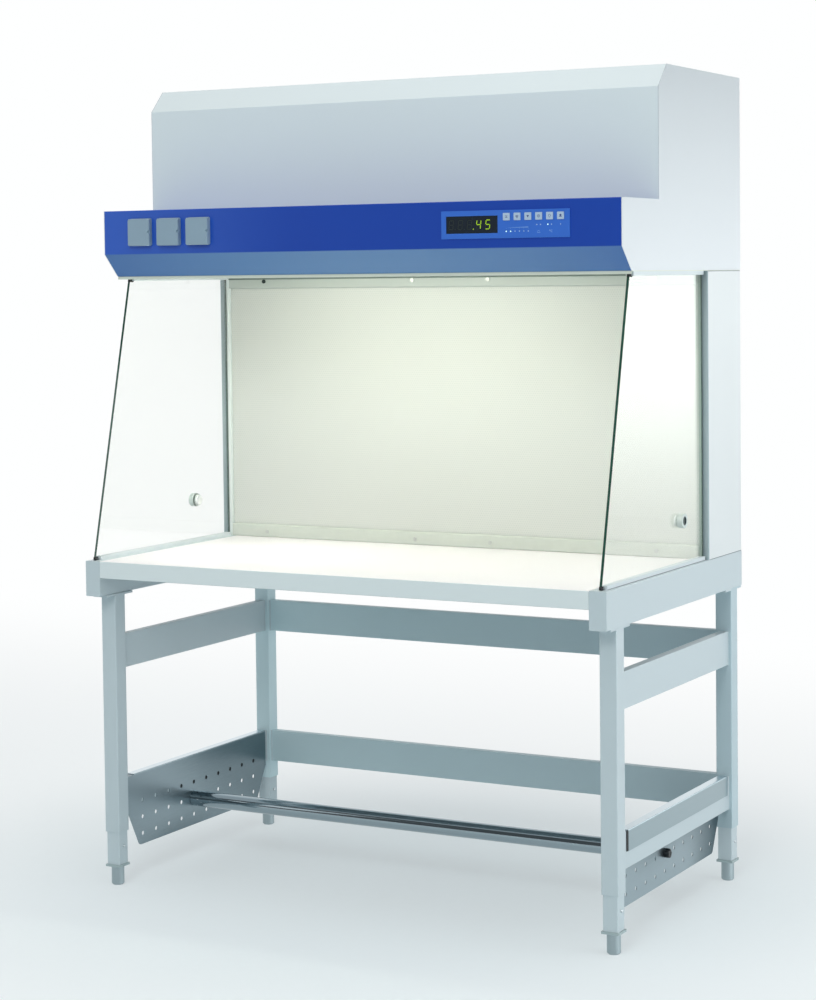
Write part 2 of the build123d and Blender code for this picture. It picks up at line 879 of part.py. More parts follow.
def chamber_ceiling():
    """The sheet between chamber and housing, with a front lip, a lamp window and the air slot."""
    path = [
        (fascia_foot_y, ceiling_z - ceiling_lip),
        (fascia_foot_y, seam_z),
        (back_y - sheet, seam_z),
    ]
    ceiling = folded_sheet(path, sheet, Side.RIGHT, Plane.YZ, inside_half, tight_bend_radius)
    window = block(
        (-tube_half_length, tube_y - window_half_width, ceiling_z - cut_overrun),
        (tube_half_length, tube_y + window_half_width, seam_z + cut_overrun),
    )
    slot = block(
        (-plenum_slot_half, filter_rear_y + plenum_slot_margin, ceiling_z - cut_overrun),
        (plenum_slot_half, back_y - plenum_slot_margin, seam_z + cut_overrun),
    )
    return ceiling - window - slot


def lamp_box():
    """The folded fascia: top, upright face, bevel and bottom return."""
    path = [
        (fascia_foot_y + fascia_return, seam_z),
        (fascia_foot_y, seam_z),
        (lamp_box_y, fascia_z),
        (lamp_box_y, lamp_box_top_z),
        (hood_front_y + fascia_top_lap, lamp_box_top_z),
    ]
    shell = folded_sheet(path, sheet, Side.RIGHT, Plane.YZ, inside_half, bend_radius)
    half_wide = panel_width / 2 - cutout_margin
    half_tall = panel_height / 2 - cutout_margin
    shell -= block(
        (panel_centre_x - half_wide, lamp_box_y - cut_overrun, control_z - half_tall),
        (panel_centre_x + half_wide, lamp_box_y + 2 * sheet, control_z + half_tall),
    )
    well = socket_well_radius + socket_well_wall + socket_fit
    for centre_x in socket_places():
        shell -= drill(well, (centre_x, lamp_box_y, control_z), (centre_x, lamp_box_y + sheet, control_z))
    return shell


# ---------------------------------------------------------------- fan and intake
def fan_deck():
    """The duct under the intake: a flanged tray with ledges and a bell-mouthed nozzle."""
    roof_z = top_z - sheet
    ledge_z = roof_z - prefilter_drop - prefilter_depth
    tray = duct_block(0, duct_floor_z, roof_z)
    tray -= duct_block(sheet, ledge_z, roof_z + cut_overrun)
    tray -= duct_block(sheet + ledge_width, ledge_z - sheet - cut_overrun, ledge_z + cut_overrun)
    tray -= duct_block(sheet, duct_floor_z + sheet, ledge_z - sheet)
    floor_low = (0, duct_centre_y, duct_floor_z)
    floor_high = (0, duct_centre_y, duct_floor_z + sheet)
    tray -= drill(nozzle_mouth_radius, floor_low, floor_high)
    return tray + nozzle()


def duct_block(margin, low_z, high_z):
    """A block as large as the duct less a margin all round, between two heights."""
    return block(
        (-duct_half + margin, duct_front_y + margin, low_z),
        (duct_half - margin, duct_rear_y - margin, high_z),
    )


def nozzle():
    """The bell mouth, curved from its mouth to its throat, turned about the fan's axis."""
    foot_point = (nozzle_throat_radius, nozzle_foot_z)
    throat = (nozzle_throat_radius, nozzle_foot_z + nozzle_straight)
    mouth = (nozzle_mouth_radius, duct_floor_z + sheet)
    curve = Line(foot_point, throat) + TangentArc(throat, mouth, tangent=(0, 1))
    outline = offset(curve, amount=sheet, side=Side.RIGHT, kind=Kind.ARC)
    return Pos(0, duct_centre_y, 0) * revolve(Plane.XZ * make_face(outline), axis=Axis.Z)


def blade_profile():
    """One backward-curved blade, seen along the shaft."""
    tip_angle = math.radians(blade_sweep)
    start = (blade_inner_radius, 0)
    end = (
        (impeller_radius - impeller_sheet) * math.cos(tip_angle),
        -(impeller_radius - impeller_sheet) * math.sin(tip_angle),
    )
    curve = SagittaArc(start, end, blade_bow)
    return make_face(offset(curve, amount=impeller_sheet, side=Side.LEFT, kind=Kind.ARC))


def shroud():
    """The bowed ring that closes the blades towards the intake."""
    rim = (impeller_radius, impeller_base_z + impeller_height)
    line = SagittaArc((impeller_eye_radius, shroud_top_z), rim, shroud_bow)
    outline = offset(line, amount=impeller_sheet, side=Side.RIGHT, kind=Kind.ARC)
    return revolve(Plane.XZ * make_face(outline), axis=Axis.Z)


def blade_room():
    """The room that the blades fill, from the back plate to the shroud and clear of the nozzle."""
    floor_z = impeller_base_z + impeller_sheet / 2
    rim_z = impeller_base_z + impeller_height - impeller_sheet / 2
    eye_z = shroud_top_z - impeller_sheet / 2
    clear_z = nozzle_foot_z - blade_eye_gap
    outline = Polyline(
        (0, floor_z),
        (impeller_radius, floor_z),
        (impeller_radius, rim_z),
        (impeller_eye_radius, eye_z),
        (impeller_eye_radius, clear_z),
        (0, clear_z),
        close=True,
    )
    return revolve(Plane.XZ * make_face(outline), axis=Axis.Z)


def fan_impeller():
    """The centrifugal impeller: back plate, hub, curved blades and shroud."""
    low = (0, 0, impeller_base_z)
    back = rod(impeller_radius, low, (0, 0, impeller_base_z + impeller_sheet))
    hub_top = (0, 0, impeller_base_z + hub_height)
    blade = extrude(Plane.XY.offset(impeller_base_z) * blade_profile(), amount=shroud_top_z - impeller_base_z)
    blades = PolarLocations(0, impeller_blades) * (blade & blade_room())
    wheel = back + rod(hub_radius, low, hub_top) + shroud() + blades
    wheel -= drill(shaft_radius + running_clearance, low, hub_top)
    return Pos(0, duct_centre_y, 0) * wheel


def fan_motor():
    """The motor with its shaft, hung from the duct on a four-armed spider."""
    can = rod(motor_radius, (0, 0, motor_base_z), (0, 0, motor_top_z))
    shaft = rod(shaft_radius, (0, 0, motor_top_z), (0, 0, impeller_base_z + shaft_stand_out))
    strap_path = [
        (motor_radius / 2, motor_base_z),
        (spider_radius, motor_base_z),
        (spider_radius, duct_floor_z),
    ]
    strap = folded_sheet(strap_path, spider_strap, Side.LEFT, Plane.XZ, spider_width / 2, 2 * spider_strap)
    straps = PolarLocations(0, 4) * (Rot(0, 0, 45) * strap)
    return Pos(0, duct_centre_y, 0) * (can + shaft + straps)


def prefilter():
    """The coarse filter cassette on the ledge of the duct."""
    high_z = top_z - sheet - prefilter_drop
    low_z = high_z - prefilter_depth
    mat_low_z = (low_z + high_z - prefilter_mat) / 2
    mat_high_z = mat_low_z + prefilter_mat
    margin = sheet + prefilter_side_gap
    cassette = duct_block(margin, low_z, high_z)
    cassette -= duct_block(margin + prefilter_border, mat_high_z, high_z + cut_overrun)
    cassette -= duct_block(margin + prefilter_border, low_z - cut_overrun, mat_low_z)
    return cassette


# ---------------------------------------------------------------- lamp
def lamp_tray():
    """The white reflector over the lamp window, with an end holder at each side."""
    path = [
        (tube_y - tray_half_width - tray_flange, seam_z),
        (tube_y - tray_half_width, seam_z),
        (tube_y - tray_roof_half, seam_z + tray_height),
        (tube_y + tray_roof_half, seam_z + tray_height),
        (tube_y + tray_half_width, seam_z),
        (tube_y + tray_half_width + tray_flange, seam_z),
    ]
    end_x = tube_half_length + cap_length + tray_end_gap
    tray_half = end_x + tray_end_thickness
    tray = folded_sheet(path, sheet, Side.LEFT, Plane.YZ, tray_half, tight_bend_radius)
    end_outline = [
        (tube_y - tray_half_width + sheet, seam_z),
        (tube_y - tray_roof_half, seam_z + tray_height),
        (tube_y + tray_roof_half, seam_z + tray_height),
        (tube_y + tray_half_width - sheet, seam_z),
    ]
    holder = plate(end_outline, end_x, tray_end_thickness)
    holder -= lamp_pins(end_x - cut_overrun, running_clearance)
    return tray + holder + mirrored(holder)


def lamp_pins(start_x, extra):
    """The pair of contact pins at the right-hand end of the tube."""
    pins = []
    for side in (-1, 1):
        place_z = tube_z + side * pin_spacing / 2
        pin_end = start_x + pin_length
        pins.append(rod(pin_radius + extra, (start_x, tube_y, place_z), (pin_end, tube_y, place_z)))
    return pins


def lamp_tube():
    """The fluorescent tube with its end caps and pins."""
    end_x = tube_half_length + cap_length
    tube = rod(tube_radius, (-end_x, tube_y, tube_z), (end_x, tube_y, tube_z))
    for pin in lamp_pins(end_x, 0):
        tube += pin
        tube += mirrored(pin)
    return tube


# ---------------------------------------------------------------- controls
def key_places():
    """The centre of each key along the panel."""
    return [panel_left_x + key_first_inset + key_pitch * place for place in range(key_count)]


def fascia_plane(centre_x):
    """The plane of the fascia's face, looking forwards, at one place along it."""
    return Plane(origin=(centre_x, lamp_box_y, control_z), x_dir=(1, 0, 0), z_dir=(0, -1, 0))


def control_panel():
    """The raised panel with its display window and key holes."""
    outline = RectangleRounded(panel_width, panel_height, panel_corner_radius)
    slab = extrude(fascia_plane(panel_centre_x) * outline, amount=panel_thickness)
    slab -= Pos(window_x, lamp_box_y, control_z) * Box(
        window_width + 2 * panel_clearance, 4 * panel_thickness, window_height + 2 * panel_clearance
    )
    for centre_x in key_places():
        slab -= Pos(centre_x, lamp_box_y, key_z) * Box(
            key_size + 2 * panel_clearance, 4 * panel_thickness, key_size + 2 * panel_clearance
        )
    return slab


def display_window():
    """The dark pane over the display."""
    middle_y = panel_front_y + window_drop + window_thickness / 2
    return Pos(window_x, middle_y, control_z) * Box(window_width, window_thickness, window_height)


def key(centre_x):
    """A square key cap with a flange that holds it behind the panel."""
    cap_front = panel_front_y - key_proud
    cap_rear = lamp_box_y + switch_gap
    cap = block(
        (centre_x - key_size / 2, cap_front, key_z - key_size / 2),
        (centre_x + key_size / 2, cap_rear, key_z + key_size / 2),
    )
    cap = fillet(cap.edges().filter_by(Axis.Y), key_corner_radius)
    half = key_size / 2 + key_flange
    return cap + block(
        (centre_x - half, cap_rear, key_z - half),
        (centre_x + half, cap_rear + key_flange_thickness, key_z + half),
    )


def control_board():
    """The circuit board behind the panel with its display block, switches and spacers."""
    half_length = panel_width / 2 + circuit_margin
    half_tall = panel_height / 2 + circuit_margin
    board = block(
        (panel_centre_x - half_length, circuit_y, control_z - half_tall),
        (panel_centre_x + half_length, circuit_y + circuit_thickness, control_z + half_tall),
    )
    window_rear = panel_front_y + window_drop + window_thickness
    board += block(
        (window_x - window_width / 2, window_rear, control_z - window_height / 2),
        (window_x + window_width / 2, circuit_y, control_z + window_height / 2),
    )
    plunger_y = lamp_box_y + switch_gap + key_flange_thickness + key_travel + switch_gap
    for centre_x in key_places():
        board += block(
            (centre_x - switch_size / 2, plunger_y, key_z - switch_size / 2),
            (centre_x + switch_size / 2, circuit_y, key_z + switch_size / 2),
        )
    for side_x in (-1, 1):
        for side_z in (-1, 1):
            place_x = panel_centre_x + side_x * (half_length - spacer_inset)
            place_z = control_z + side_z * (half_tall - spacer_inset)
            foot_end = (place_x, lamp_box_y + sheet, place_z)
            board += rod(spacer_radius, foot_end, (place_x, circuit_y, place_z))
    return board


# ---------------------------------------------------------------- covered sockets
def socket_places():
    """The centre of each covered socket along the fascia."""
    return [socket_first_x + place * socket_pitch for place in range(socket_count)]


def socket_base(centre_x):
    """A plate with a round well behind it, and two ears that hold the lid's hinge pin."""
    outline = RectangleRounded(socket_width, socket_height, socket_corner_radius)
    base = extrude(fascia_plane(centre_x) * outline, amount=socket_plate)
    mouth = (centre_x, lamp_box_y, control_z)
    well_floor = (centre_x, lamp_box_y + socket_well_depth, control_z)
    well_rear = (centre_x, lamp_box_y + socket_well_depth + socket_well_wall, control_z)
    base += rod(socket_well_radius + socket_well_wall, mouth, well_rear)
    base -= rod(socket_well_radius, (centre_x, lamp_box_y - 2 * socket_plate, control_z), well_floor)
    half = socket_width / 2
    base += hinge_ear(centre_x - half)
    base += hinge_ear(centre_x + half - hinge_ear_width)
    pin_half = half - hinge_ear_width / 2
    return base + rod(
        hinge_pin_radius, (centre_x - pin_half, hinge_y, hinge_z), (centre_x + pin_half, hinge_y, hinge_z)
    )


def hinge_ear(low_x):
    """A round-nosed ear that stands on the socket plate."""
    high_x = low_x + hinge_ear_width
    foot_block = block(
        (low_x, hinge_y, hinge_z - hinge_barrel_radius),
        (high_x, lamp_box_y - socket_plate, hinge_z + hinge_barrel_radius),
    )
    return foot_block + rod(hinge_barrel_radius, (low_x, hinge_y, hinge_z), (high_x, hinge_y, hinge_z))


def socket_lid(centre_x):
    """A hinged cover with a barrel round the pin and a finger notch in its edge."""
    half = socket_width / 2
    rear_y = lamp_box_y - socket_plate - lid_gap
    front_y_of_lid = rear_y - lid_thickness
    slab = block(
        (centre_x - half, front_y_of_lid, control_z - socket_height / 2),
        (centre_x + half, rear_y, hinge_z),
    )
    slab = fillet(slab.edges().filter_by(Axis.Y).group_by(Axis.Z)[0], socket_corner_radius)
    slab = fillet(slab.faces().sort_by(Axis.Y)[0].edges().group_by(Axis.Z)[0], lid_edge_radius)
    barrel_half = half - hinge_ear_width - hinge_ear_gap
    relief = hinge_barrel_radius + hinge_ear_gap
    for low_x in (-half - cut_overrun, barrel_half):
        high_x = low_x + half + cut_overrun - barrel_half
        slab -= block(
            (centre_x + low_x, hinge_y - relief, hinge_z - relief),
            (centre_x + high_x, rear_y + cut_overrun, hinge_z + cut_overrun),
        )
    left_end = (centre_x - barrel_half, hinge_y, hinge_z)
    right_end = (centre_x + barrel_half, hinge_y, hinge_z)
    lid = slab + rod(hinge_barrel_radius, left_end, right_end)
    lid -= drill(hinge_pin_radius + running_clearance, left_end, right_end)
    notch_floor = (centre_x + half, front_y_of_lid + lid_notch_depth, control_z)
    return lid - drill(lid_notch_width / 2, (centre_x + half, front_y_of_lid, control_z), notch_floor)


# ---------------------------------------------------------------- assembly
def build_stand():
    """Files every piece of the stand and the footrest."""
    keep_pair("side_frame", side_frame())
    keep("rear_bar_upper", rear_bar(upper_bar_z))
    keep("rear_bar_lower", rear_bar(lower_bar_z))
    for place, (centre_x, centre_y) in leg_places.items():
        keep("inner_leg_" + place, inner_leg(centre_x, centre_y))
        keep("foot_" + place, foot(centre_x, centre_y))
    keep("leg_lock_screws", Compound([lock_screw(x, y) for x, y in leg_places.values()]))
    keep_pair("hook_plate", hook_plate())
    keep("footrest_tube", rest_tube())
    keep_pair("footrest_knob", rest_knob())


def build_bench():
    """Files the worktop, the glasses and everything round the chamber."""
    keep_pair("side_rail", side_rail())
    keep("work_surface", work_surface())
    keep_pair("side_glass", side_glass())
    keep("glass_channels", glass_channels())
    keep("glass_seals", glass_seals())
    keep("port_grommets", port_grommets())
    keep_pair("port_plug", port_plug())
    keep("chamber_posts", chamber_posts())
    keep("diffuser_grille", diffuser_grille())
    keep("grille_screws", Compound([grille_screw(x, z) for x, z in grille_screw_places()]))
    keep("filter_frame", filter_frame())
    keep("filter_pleats", filter_pleats())
    keep("plenum_case", plenum_case())


def build_housing():
    """Files the housing with its fan, lamp, controls and sockets."""
    keep("hood_shell", hood_shell())
    keep_pair("cheek", cheek())
    keep("back_panel", back_panel())
    keep("chamber_ceiling", chamber_ceiling())
    keep("lamp_box", lamp_box())
    keep("mains_inlet", mains_inlet())
    keep("fan_deck", fan_deck())
    keep("fan_impeller", fan_impeller())
    keep("fan_motor", fan_motor())
    keep("prefilter", prefilter())
    keep("lamp_tray", lamp_tray())
    keep("lamp_tube", lamp_tube())
    keep("control_panel", control_panel())
    keep("display_window", display_window())
    keep("control_board", control_board())
    for number, centre_x in enumerate(key_places(), start=1):
        keep(f"key_{number}", key(centre_x))
    keep("socket_bases", Compound([socket_base(centre_x) for centre_x in socket_places()]))
    for number, centre_x in enumerate(socket_places(), start=1):
        keep(f"socket_lid_{number}", socket_lid(centre_x))


build_stand()
build_bench()
build_housing()

os.makedirs("parts", exist_ok=True)
for name, shape in parts.items():
    export_step(shape, f"parts/{name}.step")
print(len(parts), "nodes written")
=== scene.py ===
# %% [markdown]
# # Dressing a laminar flow hood
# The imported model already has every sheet, tube and key in its true place. This lesson gives them their
# finishes, adds the fine things that are easier to make as meshes (the perforated diffuser, prints on the
# controls, beads and clips), and then sets the floor, the lamps and the camera.

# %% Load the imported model
import math
from functools import partialmethod

import bpy
import numpy as np
from mathutils import Matrix, Vector


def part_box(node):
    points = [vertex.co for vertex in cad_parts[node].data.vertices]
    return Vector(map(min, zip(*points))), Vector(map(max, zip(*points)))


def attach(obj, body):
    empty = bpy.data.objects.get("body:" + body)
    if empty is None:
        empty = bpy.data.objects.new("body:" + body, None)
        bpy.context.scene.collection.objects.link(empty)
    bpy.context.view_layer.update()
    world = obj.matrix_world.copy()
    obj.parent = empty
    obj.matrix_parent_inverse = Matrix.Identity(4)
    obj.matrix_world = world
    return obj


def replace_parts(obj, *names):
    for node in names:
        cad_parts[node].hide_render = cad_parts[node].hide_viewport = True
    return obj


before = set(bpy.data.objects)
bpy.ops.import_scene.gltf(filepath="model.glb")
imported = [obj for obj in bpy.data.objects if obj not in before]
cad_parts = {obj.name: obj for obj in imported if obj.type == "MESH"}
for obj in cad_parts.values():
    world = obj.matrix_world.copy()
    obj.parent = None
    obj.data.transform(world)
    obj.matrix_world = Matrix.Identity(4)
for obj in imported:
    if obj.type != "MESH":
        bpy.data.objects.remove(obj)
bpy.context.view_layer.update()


# %% [markdown]
# ## Shader sums written as Python
# A node tree is a long sum. Wrapping a socket in a small class lets us write that sum the way it is said,
# `1 - mask` or `height * 0.2`, and each operator quietly adds its Math node. Every other node comes from one
# method, which sets the node's settings first and then fills its sockets with values or links.

# %% A class for sockets and one for finishes
class Wire:
    """An output socket with arithmetic on it."""

    def __init__(self, finish, socket):
        self.finish, self.socket = finish, socket

    def math(self, operation, other=0.0, swapped=False):
        """One Math node of this value and another, in this order or swapped."""
        first, second = (other, self) if swapped else (self, other)
        return self.finish.node("Math", {"operation": operation}, {0: first, 1: second})

    __add__ = __radd__ = partialmethod(math, "ADD")
    __sub__ = partialmethod(math, "SUBTRACT")
    __rsub__ = partialmethod(math, "SUBTRACT", swapped=True)
    __mul__ = __rmul__ = partialmethod(math, "MULTIPLY")
    __truediv__ = partialmethod(math, "DIVIDE")
    __gt__ = partialmethod(math, "GREATER_THAN")
    __lt__ = partialmethod(math, "LESS_THAN")
    __abs__ = partialmethod(math, "ABSOLUTE")


class Finish:
    """A material, or the world, under construction."""

    def __init__(self, name, store=bpy.data.materials, ending="OutputMaterial"):
        self.owner, self.ending = store.new(name), ending
        self.owner.use_nodes = True
        self.tree = self.owner.node_tree
        self.tree.nodes.clear()

    def node(self, kind, settings=None, inputs=None, output=0):
        """Adds one node: its settings first, then the values or links of its sockets."""
        made = self.tree.nodes.new("ShaderNode" + kind)
        for name, value in (settings or {}).items():
            setattr(made, name, value)
        for name, value in (inputs or {}).items():
            if isinstance(value, Wire):
                self.tree.links.new(value.socket, made.inputs[name])
            else:
                made.inputs[name].default_value = value
        return Wire(self, made.outputs[output])

    def axis(self, letter, source="Object"):
        """One coordinate as a number; object coordinates are in metres."""
        here = self.node("TexCoord", output=source)
        return self.node("SeparateXYZ", {}, {"Vector": here}, "XYZ".index(letter))

    def noise(self, scale, detail=2.0, stretch=(1, 1, 1)):
        """Smooth noise from 0 to 1 with about `scale` grains in a metre, each axis times its stretch."""
        here = self.node("TexCoord", output="Object")
        place = self.node("Mapping", {}, {"Vector": here, "Scale": stretch})
        return self.node("TexNoise", {}, {"Vector": place, "Scale": scale, "Detail": detail})

    def blend(self, first, second, factor):
        """A colour between two colours."""
        return self.node("Mix", {"data_type": "RGBA"}, {0: factor, 6: first, 7: second}, 2)

    def ramp(self, value, low, high, to_low=0.0, to_high=1.0, kind="SMOOTHSTEP"):
        """to_low where the value is low, to_high where it is high, and held beyond both."""
        return self.node("MapRange", {"interpolation_type": kind}, {
            "Value": value, "From Min": low, "From Max": high, "To Min": to_low, "To Max": to_high})

    def ray(self, *kinds):
        """1 for rays of any of these kinds, from Camera, Glossy, Transmission and Shadow."""
        share = self.node("LightPath", output=f"Is {kinds[0]} Ray")
        for kind in kinds[1:]:
            share = share.math("MAXIMUM", self.node("LightPath", output=f"Is {kind} Ray"))
        return share

    def skin(self, colour, roughness, height=None, depth=0.0, strength=1.0, others=None):
        """A surface with a relief `depth` metres deep; ends the tree and hands the material over."""
        inputs = {"Base Color": colour, "Roughness": roughness, **(others or {})}
        if height is not None:
            inputs["Normal"] = self.node("Bump", {}, {
                "Height": height, "Distance": depth, "Strength": strength})
        return self.close(self.node("BsdfPrincipled", {}, inputs))

    def close(self, surface):
        """Ends the tree with its output and hands over what it belongs to."""
        ending = self.tree.nodes.new("ShaderNode" + self.ending)
        self.tree.links.new(surface.socket, ending.inputs["Surface"])
        return self.owner


def tint(red, green, blue):
    """A colour in everyday screen numbers from 0 to 255, as the linear colour that a shader takes."""
    share = np.array([red, green, blue]) / 255
    linear = np.where(share <= 0.04045, share / 12.92, ((share + 0.055) / 1.055) ** 2.4)
    return (*(float(value) for value in linear), 1.0)


def darker(colour, share):
    """A colour with its light reduced to a share."""
    return tuple(value * share for value in colour[:3]) + (1.0,)


print("white enamel is", [round(value, 3) for value in tint(226, 231, 234)])


# %% [markdown]
# ## Stoved powder coat
# Nearly every panel is sheet steel with baked powder on it. Powder never levels quite flat: it has a fine
# orange peel, about a millimetre across and a few hundredths deep, and the colour drifts by one or two per
# cent over a large panel. Two noises do both. The fine one feeds a bump and the slow one the colour.

# %% Powder-coated enamels
SEAM_LINE = 0.0013
RETURN_INNER, RETURN_OUTER, RETURN_REAR = 0.6490, 0.6655, 0.1871
BLUE_FOLD_Z = 1.4950
REAR_LEG_FRONT = 0.3285
POST_PANE_SIDE = 0.6436
case_low, case_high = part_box("plenum_case")


class Enamel(Finish):
    """Powder coat: `drift` is its slow change of colour and `peel` its fine relief."""

    def __init__(self, name):
        super().__init__(name)
        self.drift = self.noise(2.2, 3.0)
        self.peel = self.noise(760.0, 1.0)

    def bake(self, colour, roughness=0.38, strength=0.35, others=None):
        """Roughness + 0.08 * drift, and the peel as a relief."""
        return self.skin(colour, roughness + 0.08 * self.drift, self.peel, 0.00005, strength, others)


def powder_coat(name, colour, roughness=0.42):
    """Enamel of one colour, a little darker where the drift is high."""
    finish = Enamel(name)
    colour = finish.blend(colour, darker(colour, 0.955), finish.drift)
    return finish.bake(colour, roughness - 0.04 + 0.05 * (finish.peel - 0.5))


def bevelled_blue(name):
    """Clear-coated blue; a painted sheen at the left end and a painted worktop reflection below the fold."""
    finish = Enamel(name)
    x = finish.axis("X")
    below = finish.ramp(finish.axis("Z"), BLUE_FOLD_Z + 0.0012, BLUE_FOLD_Z - 0.0012, kind="LINEAR")
    upright = finish.blend(tint(18, 69, 172), tint(14, 63, 164), finish.drift)
    # Painted sheen: the blue grows lighter towards the left end.
    upright = finish.blend(upright, tint(40, 90, 190), finish.ramp(x, -0.1, -0.66))
    # Painted reflection of the lit worktop below the fold: a paler, greyer blue, palest in the middle.
    away = x / 0.66
    bevel_painted_reflection = finish.blend(tint(98, 140, 186), tint(68, 114, 174), away * away)
    return finish.bake(finish.blend(upright, bevel_painted_reflection, below), 0.34, 0.3, {
        "Specular IOR Level": 0.35, "Coat Weight": 0.12, "Coat Roughness": 0.12})


def case_coat(name):
    """White with dark seams at foot and head; painted shade on the returns by the panes, darkest at the
    glass.
    """
    finish = Enamel(name)
    width, height = abs(finish.axis("X")), finish.axis("Z")
    front = (finish.axis("Y") < RETURN_REAR) * (width > RETURN_INNER)
    seam = (height < case_low.z + SEAM_LINE) + (height > case_high.z - SEAM_LINE)
    enamel = finish.blend(tint(230, 233, 233), tint(226, 229, 229), finish.drift)
    enamel = finish.blend(enamel, tint(96, 110, 118), seam)
    # Painted shade on the returns: grey, darkest next to the glass and paler outwards.
    outward = finish.ramp(width, RETURN_INNER + 0.0005, RETURN_OUTER, kind="LINEAR")
    fold = finish.blend(tint(122, 138, 143), tint(164, 180, 185), outward)
    return finish.bake(finish.blend(enamel, fold, front))


def graded_coat(name, low_colour, high_colour, low_z, high_z):
    """Enamel that goes from one shade to another between two heights."""
    finish = Enamel(name)
    rise = finish.ramp(finish.axis("Z"), low_z, high_z, kind="LINEAR")
    return finish.bake(finish.blend(low_colour, high_colour, rise))


def frame_coat(name):
    """Enamel of the stand. Its rear legs and bars get painted shade and light: cooler, paler on the left."""
    finish = Enamel(name)
    rightward = finish.ramp(finish.axis("X"), -0.65, 0.65, kind="LINEAR")
    rear = finish.blend(tint(214, 234, 238), tint(188, 206, 212), rightward)
    behind = finish.axis("Y") > REAR_LEG_FRONT - 0.0001
    return finish.bake(finish.blend(tint(200, 211, 215), rear, behind), 0.36)


def post_coat(name):
    """White, with a painted green-grey shade on the side that faces the pane and on the whole right post."""
    finish = Enamel(name)
    x = finish.axis("X")
    enamel = finish.blend(tint(228, 236, 234), tint(160, 176, 166), x > 0.6)
    return finish.bake(finish.blend(enamel, tint(122, 140, 132), abs(x) > POST_PANE_SIDE))


# %% [markdown]
# Each enamel below is one of those coats with its own colours.

# %% The enamels
case_enamel = case_coat("case_enamel")
channel_enamel = powder_coat("channel_enamel", tint(222, 230, 233))
lip_enamel = powder_coat("lip_enamel", tint(226, 229, 214))
white_enamel = powder_coat("white_enamel", tint(228, 236, 237))
stand_enamel = powder_coat("stand_enamel", tint(202, 213, 217), 0.4)
# Painted shade: the inner legs are darker at their foot, below 50 mm.
leg_enamel = graded_coat("leg_enamel", tint(172, 187, 188), tint(202, 213, 217), 0.0502, 0.0510)
# Painted shade: the cheeks grow darker from 1.45 m up to their top.
cheek_enamel = graded_coat("cheek_enamel", tint(226, 229, 232), tint(190, 196, 200), 1.45, 1.89)
frame_enamel = frame_coat("frame_enamel")
post_enamel = post_coat("post_enamel")
blue_enamel = bevelled_blue("blue_enamel")
print("enamels:", white_enamel.name, stand_enamel.name, blue_enamel.name)


# %% [markdown]
# ## Laminate, brushed steel and polished tube
# The worktop is melamine on board: cream, with a very fine pebble and no grain to see. The hook plates are
# brushed stainless steel. Its lines run along the plate, so the noise is squeezed across them and stretched
# along them, and it drives the roughness as well as a shallow bump. The footrest is polished tube: smooth,
# with faint drawing lines along its length.

# %% Worktop and steels
board_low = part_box("work_surface")[0]
EDGE_BAND = 0.0006
HOOK_OUTER, HOOK_TOP = 0.6536, 0.2537


def laminate(name, colour, edge_colour, underside_shade):
    """Melamine: a pebble over a faint cloud, a greyer band on the front edge and grey painted shade below."""
    finish = Finish(name)
    cloud = finish.noise(5.0, 4.0)
    pebble = finish.noise(1500.0, 1.0)
    top = finish.blend(colour, darker(colour, 0.975), cloud)
    top = finish.blend(top, edge_colour, finish.axis("Y") < board_low.y + EDGE_BAND)
    # Painted shade on the underside and on the lowest 0.6 mm of the edges.
    top = finish.blend(top, underside_shade, finish.axis("Z") < board_low.z + EDGE_BAND)
    return finish.skin(top, 0.36 + 0.1 * pebble, pebble, 0.00003, 0.3)


def plate_metal(name):
    """Fine brushing along Y over broad bands, paler towards the front: painted reflections."""
    finish = Finish(name)
    lines = finish.noise(1500.0, 2.0, (1.0, 0.025, 1.0))
    bands = finish.noise(2.6, 0.0, (1.0, 1.0, 2.0))
    forward = finish.ramp(finish.axis("Y"), 0.34, 0.05)
    spread = finish.ramp((bands + 0.14 * lines) * (0.6 + 0.4 * forward), 0.30, 0.78)
    colour = finish.blend(tint(106, 123, 130), tint(164, 179, 186), spread)
    # Painted highlights: the hook's outer face and its top are brighter.
    colour = finish.blend(colour, tint(165, 182, 188), abs(finish.axis("X")) > HOOK_OUTER)
    colour = finish.blend(colour, tint(216, 228, 234), finish.axis("Z") > HOOK_TOP)
    return finish.skin(colour, 0.25 + 0.12 * lines, lines, 0.00001, 0.4, {"Metallic": 1.0})


def brushed(name, colour, along, roughness=0.3, line=520.0, depth=0.00002):
    """Brushed metal: noise that is stretched forty times along one axis."""
    finish = Finish(name)
    stretch = tuple(0.025 if letter == along else 1.0 for letter in "XYZ")
    lines = finish.noise(line, 3.0, stretch)
    cloud = finish.noise(3.0, 2.0)
    colour = finish.blend(darker(colour, 0.72), colour, 0.6 * lines + 0.5 * cloud)
    return finish.skin(colour, roughness - 0.08 + 0.16 * lines + 0.05 * cloud, lines, depth, 0.5,
                       {"Metallic": 1.0})


def screw_zinc(name):
    """Bright zinc, with one blackened head: the screw at the upper left."""
    finish = Finish(name)
    grain = finish.noise(900.0, 2.0)
    odd_one = (finish.axis("X") < -0.5) * (finish.axis("Z") > 1.4)
    bright = finish.blend(tint(206, 210, 206), tint(186, 190, 186), grain)
    return finish.skin(finish.blend(bright, tint(52, 60, 60), odd_one), 0.34 + 0.1 * grain, grain, 0.00003,
                       0.3, {"Metallic": 0.85})


# %% [markdown]
# The board and the metals differ in colour, in the direction of their lines and in how fine these are.

